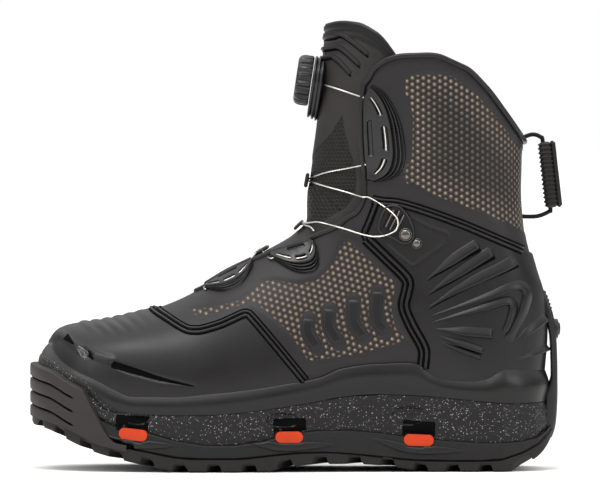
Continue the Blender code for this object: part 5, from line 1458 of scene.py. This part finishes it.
# where each run starts, its places in the picture, and how far it is lifted there in mm
RUNS = [
    ("lace_over_dial", ("lace_dial_lateral", "lace_dial_medial"),
     [(None, [(326, 85), (337, 88.5), (350, 93), (366, 98.5)], (1.5, 1.2, 1.2, 2.2))]),
    ("lace_over_ring", ("lace_ring",),
     [(ring_spot, [(325, 173), (346, 168.5), (366, 164)], (1.0, 1.0, 1.2)),
      (ring_spot, [(326, 186), (346, 191.4), (356, 194.2), (364, 196.5), (372, 199), (388, 208),
                   (396.5, 217), (397.5, 224)], (1.2, 1.4, 2.6, 3.0, 2.4, 2.2, 3.9, 3.6))]),
    ("lace_over_hook", ("lace_hook",),
     [(hook_spot, [(311, 222.6), (320, 222.4), (330, 224.4), (340, 227.2), (350, 230), (362, 233.4),
                   (374, 235.6), (387, 234.5), (395, 229.5), (397.5, 224)],
       (1.6, 2.4, 3.0, 3.4, 3.0, 2.2, 1.8, 2.4, 3.7, 3.6)),
      (hook_spot, [(311, 226.5), (315.5, 231)], (1.0, 1.3))]),
    ("lace_over_loop", ("lace_loop",),
     [(loop_spot, [(270, 258.5), (277, 256.5)], (1.0, 1.2)),
      (loop_spot, [(250, 262), (246.5, 266)], (1.0, 1.2))]),
    ("lace_over_toe", ("lace_toe",),
     [(middle(6.35, 0.9), [(205, 288), (207, 290)], (0.8, 1.0))])]
for name, nodes, routes in RUNS:
    strands = Parts()
    for start, places, lift in routes:
        run(strands, start, places, lift)
    strands.make(name, LACE, nodes, "lace_wire")

# %% [markdown]
# ## Ankle anchor
# A stitched webbing plate under a steel rivet takes the lace at the ankle, and a second rivet sits
# behind it. Webbing this stiff keeps the shape of the last, so it needs no cloth simulation: it is the
# same skin lifted once more, with its threads laid in and a cord round its rim. The rivets are turned
# heads with a washer, as a lathe would make them.

# %% Anchor plate and rivets
ANCHOR = mm([(386, 207), (396, 205), (403, 210), (410, 221), (412.5, 233), (409.5, 240), (402, 242),
             (391, 236), (382, 233), (379, 224)])
STRIPES = [smooth_line(mm(b), 1.0) for b in ([(384, 226), (392, 209)], [(388, 229), (397.5, 210)],
                                             [(393, 231), (402, 214)])]


def anchor_height(s, z, a, q, side):
    """The webbing plate with a channel for each row of thread."""
    h = -SUNK + (1.2 + 2 * GAP + 2.3) * ease(inside(s, z, ANCHOR), -0.4, 0.5)
    for b in STRIPES:
        h = h - 0.8 * (1 - ease(from_line(s, z, b), 0.3, 0.9))
    return h


rows, places = grid_over(11.8, 17.6, 0.75, 2, upper_place, 0.55, (HEEL_ROW,))
points, faces, info = drape(rows, places, upper_place, anchor_height, lowest=-0.4)
piece("ankle_anchor", points, faces, WEBBING, ("ankle_bracket_lateral", "ankle_bracket_medial"))

# %% Threads and rim of the anchor
threads = Parts()
for line in STRIPES:
    for side in (LATERAL, MEDIAL):
        spots, normals = project(line[:, 0] + 1.0, line[:, 1], side)
        tube(threads, spots + normals * 3.5, 0.55, normals)
threads.make("anchor_threads", STEEL, (), "webbing")
rim_cord = Parts()
rim_line = smooth_line(ANCHOR, 0.9, closed=True)[:-1]
for side in (LATERAL, MEDIAL):
    spots, normals = project(rim_line[:, 0], rim_line[:, 1], side)
    tube(rim_cord, spots + normals * 3.0, 0.8, normals, closed=True)
rim_cord.make("anchor_rim", NYLON, (), "webbing")


# %% Rivets
def turned(parts, middle_point, axis, profile, segments=32):
    """A turned part: radius and height pairs round an axis."""
    axis = np.asarray(axis, float) / np.linalg.norm(axis)
    u = np.cross(axis, (0.0, 0.0, 1.0))
    u /= np.linalg.norm(u)
    v = np.cross(axis, u)
    t = np.linspace(0, 2 * math.pi, segments, endpoint=False)
    spokes = u[None] * np.cos(t)[:, None] + v[None] * np.sin(t)[:, None]
    grid = np.array([[middle_point + s * r + axis * h for s in spokes] for r, h in profile])
    parts.add(grid, ring_faces(len(profile), segments))


rivets = Parts()
# the place of each rivet, the radius of its head and how far it stands off the upper, in mm
for place, size, base in (((404.8, 233.6), 2.7, 3.4), ((415.6, 242.2), 2.15, 1.6)):
    s, z = mm(place)
    for side in (LATERAL, MEDIAL):
        spot, normal = project([s], [z], side)
        head = [(size * 1.5, 0.0), (size * 1.5, 0.5), (size * 1.42, 0.75), (size * 1.34, 0.8),
                (size * 1.3, 0.45), (size * 1.2, 0.45), (size * 1.2, 0.8)]
        head += [(size * 1.2 * math.cos(t), 0.8 + 1.5 * math.sin(t)) for t in np.linspace(0.15, 1.56, 10)]
        turned(rivets, spot[0] + normal[0] * base, normal[0], head)
rivets.make("ankle_rivets", STEEL, ("rivet_lateral_1", "rivet_medial_1", "rivet_lateral_2", "rivet_medial_2"),
            "dark_steel")

# %% [markdown]
# ## The dial
# The lace winds on a spool under a knurled knob. Each knurl could be cut by a copy of one cutter, but a
# moulded knob has soft shoulders. So the knob is a turned form whose radius rises and falls eighteen
# times round. Its base is a stack of steps, drawn out down the tongue.

# %% Knob of the dial
DIAL, DIAL_HEIGHT, DIAL_TILT = 31.0, 9.6, math.radians(8.5)
RADIUS, HALF = DIAL / 2, DIAL_HEIGHT / 2
KNURLS, KNURL_DEPTH = 18, 1.1
axis, across = np.array([-math.cos(DIAL_TILT), 0.0, math.sin(DIAL_TILT)]), np.array([0.0, 1.0, 0.0])
down = np.cross(axis, across)
dial_s = DIAL_AT[0] * SOLE_LENGTH
dial = np.array([dial_s, float(centre(dial_s)), SEAT + UPPER_HEIGHT * DIAL_AT[1]])
# share of the radius, height in mm, share of the knurls' depth
KNOB = [(0.80, -HALF, 0.0), (0.93, -HALF, 0.2), (0.975, -HALF + 0.5, 0.8), (1.0, -HALF + 1.2, 1.0),
        (1.0, 0.5, 1.0), (0.985, HALF - 3.0, 1.0), (0.955, HALF - 1.8, 0.8), (0.91, HALF - 0.9, 0.35),
        (0.86, HALF - 0.4, 0.0), (0.80, HALF - 0.1, 0.0), (0.74, HALF, 0.0), (0.72, HALF - 0.7, 0.0),
        (0.66, HALF - 0.8, 0.0), (0.62, HALF - 0.5, 0.0), (0.3, HALF - 0.2, 0.0), (0.02, HALF - 0.1, 0.0)]
turn = np.linspace(0, 2 * math.pi, KNURLS * 20, endpoint=False)
wave = np.clip(0.5 - 0.75 * np.cos(turn * KNURLS), 0, 1)
knob = Parts()
spokes = [across * math.cos(t) + down * math.sin(t) for t in turn]
grid = [[dial + axis * h + spoke * (RADIUS * r - KNURL_DEPTH * k * (1 - g))
         for spoke, g in zip(spokes, wave)] for r, h, k in KNOB]
knob.add(grid, ring_faces(len(KNOB), len(turn), True))
knob.make("dial_knob_turned", NYLON, ("dial_knob",), "guide_plastic")

# %% Base of the dial
under = Parts()
turn = np.linspace(0, 2 * math.pi, 96, endpoint=False)
# the lower half is longer and narrower than a circle
drop = np.where(np.cos(turn) < 0, 1 + 0.42 * np.abs(np.cos(turn)) ** 1.6, 1.0)
waist = np.where(np.cos(turn) < 0, 1 - 0.22 * np.abs(np.cos(turn)), 1.0)
# share of the radius, depth under the knob in mm
STEPS = [(0.60, 0.0), (0.98, 0.1), (1.01, 0.4), (1.01, 1.6), (0.96, 1.9), (0.96, 2.4), (1.04, 2.7),
         (1.05, 3.9), (1.0, 4.2), (1.0, 4.8), (1.08, 5.2), (1.07, 6.0), (1.03, 6.6), (0.90, 7.1)]
under.add([[dial - axis * (HALF + 0.3 + depth) + across * (RADIUS * k * math.sin(t) * w)
            - down * (RADIUS * k * math.cos(t) * d)
            for t, d, w in zip(turn, drop, waist)] for k, depth in STEPS], ring_faces(len(STEPS), len(turn)))
under.make("dial_base_moulded", NYLON, ("dial_base",), "guide_plastic")

# %% [markdown]
# ## Pull loop and heel strap
# A cord runs from the shaft through a ribbed rubber grip and back, for pulling the boot on. The grip is a
# rounded box in section, and its ribs come from a cosine along it, which is quicker to change than a
# row of modelled rings.

# %% Grip of the pull loop
DEPTH, WIDTH, LENGTH = 7.0, 13.0, 41.0
LEAN, RIBS_ALONG, RIB_TALL = math.radians(-6.5), 15, 0.62
up, out = np.array([math.sin(LEAN), 0, math.cos(LEAN)]), np.array([math.cos(LEAN), 0, -math.sin(LEAN)])
y0 = float(centre(SOLE_LENGTH * 0.95))
grip_at = np.array([0.9885 * SOLE_LENGTH, y0, SEAT + UPPER_HEIGHT * 0.657])
grip = Parts()
t = np.linspace(-1, 1, 150)
ang = np.linspace(0, 2 * math.pi, 40, endpoint=False)
rib = RIB_TALL * np.clip(np.cos(t * math.pi * RIBS_ALONG), -0.4, 1) * (np.abs(t) < 0.94)
cap = np.sqrt(np.maximum(0.0, 1 - np.maximum(0, (np.abs(t) - 0.9) / 0.1) ** 2))
ring = [np.sign(c) * abs(c) ** 0.5 for c in np.cos(ang)], [np.sign(c) * abs(c) ** 0.5 for c in np.sin(ang)]
grid = [[grip_at + out * 0.9 + up * (LENGTH / 2 * x) + out * ((DEPTH / 2 + 0.4 + g) * c * e)
         + across * ((WIDTH / 2 - 0.5 + g) * d * e) for c, d in zip(*ring)]
        for x, g, e in zip(t, rib, np.maximum(cap, 0.02))]
grip.add(grid, ring_faces(len(t), len(ang)))
grip.make("ribbed_grip", TREAD, ("pull_grip",), "guide_plastic")

# %% Cord of the pull loop
ends = [np.array([0.924 * SOLE_LENGTH, y0, SEAT + UPPER_HEIGHT * 0.752]),
        np.array([0.919 * SOLE_LENGTH, y0, SEAT + UPPER_HEIGHT * 0.538])]
turns = [grip_at + up * (LENGTH / 2 + 3), grip_at - up * (LENGTH / 2 + 2)]
knots = [ends[0], (ends[0] + turns[0]) / 2 + np.array([2.0, 0, 3.0]), turns[0] - out,
         grip_at + up * LENGTH / 2, grip_at, grip_at - up * LENGTH / 2,
         turns[1] - out, (ends[1] + turns[1]) / 2 + np.array([3.0, 0, -1.8]), ends[1]]
loop = Parts()
tube(loop, smooth_line(knots, 0.8), 1.3, segments=12)
loop.make("loop_cord", WEBBING, ("pull_cord",), "webbing")

# %% [markdown]
# ### Heel strap
# A ribbed strap runs down the back of the heel to a round peg. One section, flat with rounded edges, is
# swept along the strap's line. A curve object with a bevel would do that too, but here the section
# also grows ribs at its top and gets thicker at both ends.

# %% Heel strap
STRAP_WIDTH, RIB_STEP, RIB_DEPTH = 9.3, 2.4, 0.7
strap_line = smooth_line(mm([(543.5, 288), (549, 302), (554, 320), (556.5, 345), (557.3, 385), (556.5, 412),
                             (554.5, 428), (550.5, 439)]), 0.8)
# share of the half-width, depth in mm
STRAP_SECTION = [(-0.62, 4.2), (-0.96, 4.0), (-1.0, 3.2), (-1.0, 1.2), (-0.9, 0.35), (-0.6, 0.0),
                 (0.0, -0.15), (0.6, 0.0), (0.9, 0.35), (1.0, 1.2), (1.0, 3.2), (0.96, 4.0), (0.62, 4.2),
                 (0.0, 4.2), (-0.62, 4.2)]
y0 = float(centre(SOLE_LENGTH * 0.99))
d = np.gradient(strap_line, axis=0)
d /= np.linalg.norm(d, axis=1)[:, None]
out = np.stack([-d[:, 1], d[:, 0]], -1)
out = out * np.sign(out[:, :1])
t, z = np.linspace(0, 1, len(strap_line)), strap_line[:, 1]
deep = 1 + 1.0 * (1 - ease(z, 44, 58)) + 0.3 * ease(z, 80, 100)
ribbed = (z > 98) * RIB_DEPTH * np.clip(np.sin(z * 2 * math.pi / RIB_STEP), -0.3, 1)
wide = STRAP_WIDTH - 1.6 * ease(z, 95, 112)
ends = np.minimum(ease(t, 0, 0.012), 1 - ease(t, 0.988, 1))
section = []
for share, depth in STRAP_SECTION:
    sunk = np.clip(depth * deep - ribbed * (depth < 1), -1, 9) * ends + 2.1 * (1 - ends)
    p = strap_line - out * sunk[:, None]
    section.append(np.stack([p[:, 0], y0 + share * wide, p[:, 1]], -1))
strap = Parts()
strap.add(np.stack(section, 1), grid_faces(len(strap_line), len(section)))
strap.make("heel_strap_ribbed", NYLON, ("heel_strap",), "webbing")

# %% Peg of the heel strap
peg_low, peg_high = (np.array(c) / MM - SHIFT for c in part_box("heel_peg"))
spot = (peg_low + peg_high) / 2
spot[0] = peg_low[0]
peg = Parts()
PEG = [(6.2, -1.0), (6.2, 1.6), (6.0, 2.3), (5.4, 2.7), (4.9, 2.7), (4.6, 2.3), (4.2, 2.3), (4.0, 3.0),
       (3.6, 3.6), (2.6, 3.95), (0.05, 4.1)]
turned(peg, spot, (1, 0, 0), PEG)
peg.make("heel_peg_turned", NYLON, ("heel_peg",), "guide_plastic")

# %% [markdown]
# ## The studio
# A product photograph has a paper floor and large soft lamps. The floor is a disc of matt paper that runs
# out of sight. Area lights are used, because a sun or a point light would give dark rubber hard small
# highlights: a broad one over the boot, and two tall ones at the toe and heel that draw long edges.

# %% Floor and lights
FLOOR_RADIUS, CORNERS = 40, 64
ring = np.linspace(0, 2 * math.pi, CORNERS, endpoint=False)
mesh = bpy.data.meshes.new("floor")
mesh.from_pydata([(FLOOR_RADIUS * math.cos(t), FLOOR_RADIUS * math.sin(t), 0) for t in ring], [],
                 [tuple(range(CORNERS))])
floor = bpy.data.objects.new("floor", mesh)
bpy.context.scene.collection.objects.link(floor)
# matt paper: white without a highlight
PAPER, tree, shader = finish("matt_paper", "#fbfaf9", 0.95, Specular_IOR_Level=0.1)
mesh.materials.append(PAPER)
bpy.context.scene.view_settings.view_transform = "Standard"


def lamp(name, place, target, size, power):
    """A rectangular area light in metres and watts, turned to a target."""
    data = bpy.data.lights.new(name, "AREA")
    data.shape, data.size, data.size_y, data.energy = "RECTANGLE", size[0], size[1], power
    ob = bpy.data.objects.new(name, data)
    ob.location = place
    ob.rotation_euler = (Vector(target) - Vector(place)).to_track_quat("-Z", "Y").to_euler()
    bpy.context.scene.collection.objects.link(ob)


lamp("over", (-0.25, -0.55, 1.3), (0, 0.02, 0.12), (1.0, 0.35), 9)
lamp("toe_side", (-1.3, -0.9, 0.75), (-0.05, 0, 0.1), (0.35, 0.9), 5)
lamp("heel_side", (1.2, -0.75, 0.7), (0.05, 0, 0.12), (0.3, 0.9), 4.5)
print("lights:", len(bpy.data.lights))

# %% [markdown]
# ### The sky
# Seen by the camera the background is plain white. An evenly white sky would also light the boot from all
# sides and make it flat and grey, so the light it gets comes from a sky that is bright overhead and
# dim all round. Light Path tells the two apart.

# %% Sky
world = bpy.data.worlds.new("studio")
bpy.context.scene.world = world
world.use_nodes = True
tree = world.node_tree
sky = add(tree, "ShaderNodeTexCoord")
height = add(tree, "ShaderNodeSeparateXYZ", {}, {0: sky.outputs["Generated"]})
glow = add(tree, "ShaderNodeMapRange", {1: 0.1, 2: 0.9, 3: 0.22, 4: 1.75}, {0: height.outputs[2]})
rays = add(tree, "ShaderNodeLightPath")
strength = add(tree, "ShaderNodeMix", {"data_type": "FLOAT", 3: 1.0},
               {0: rays.outputs["Is Camera Ray"], 2: glow.outputs[0]})
tree.links.new(strength.outputs[0], tree.nodes["Background"].inputs["Strength"])
tree.nodes["Background"].inputs["Color"].default_value = (1, 1, 1, 1)

print("nodes of the sky:", len(tree.nodes))
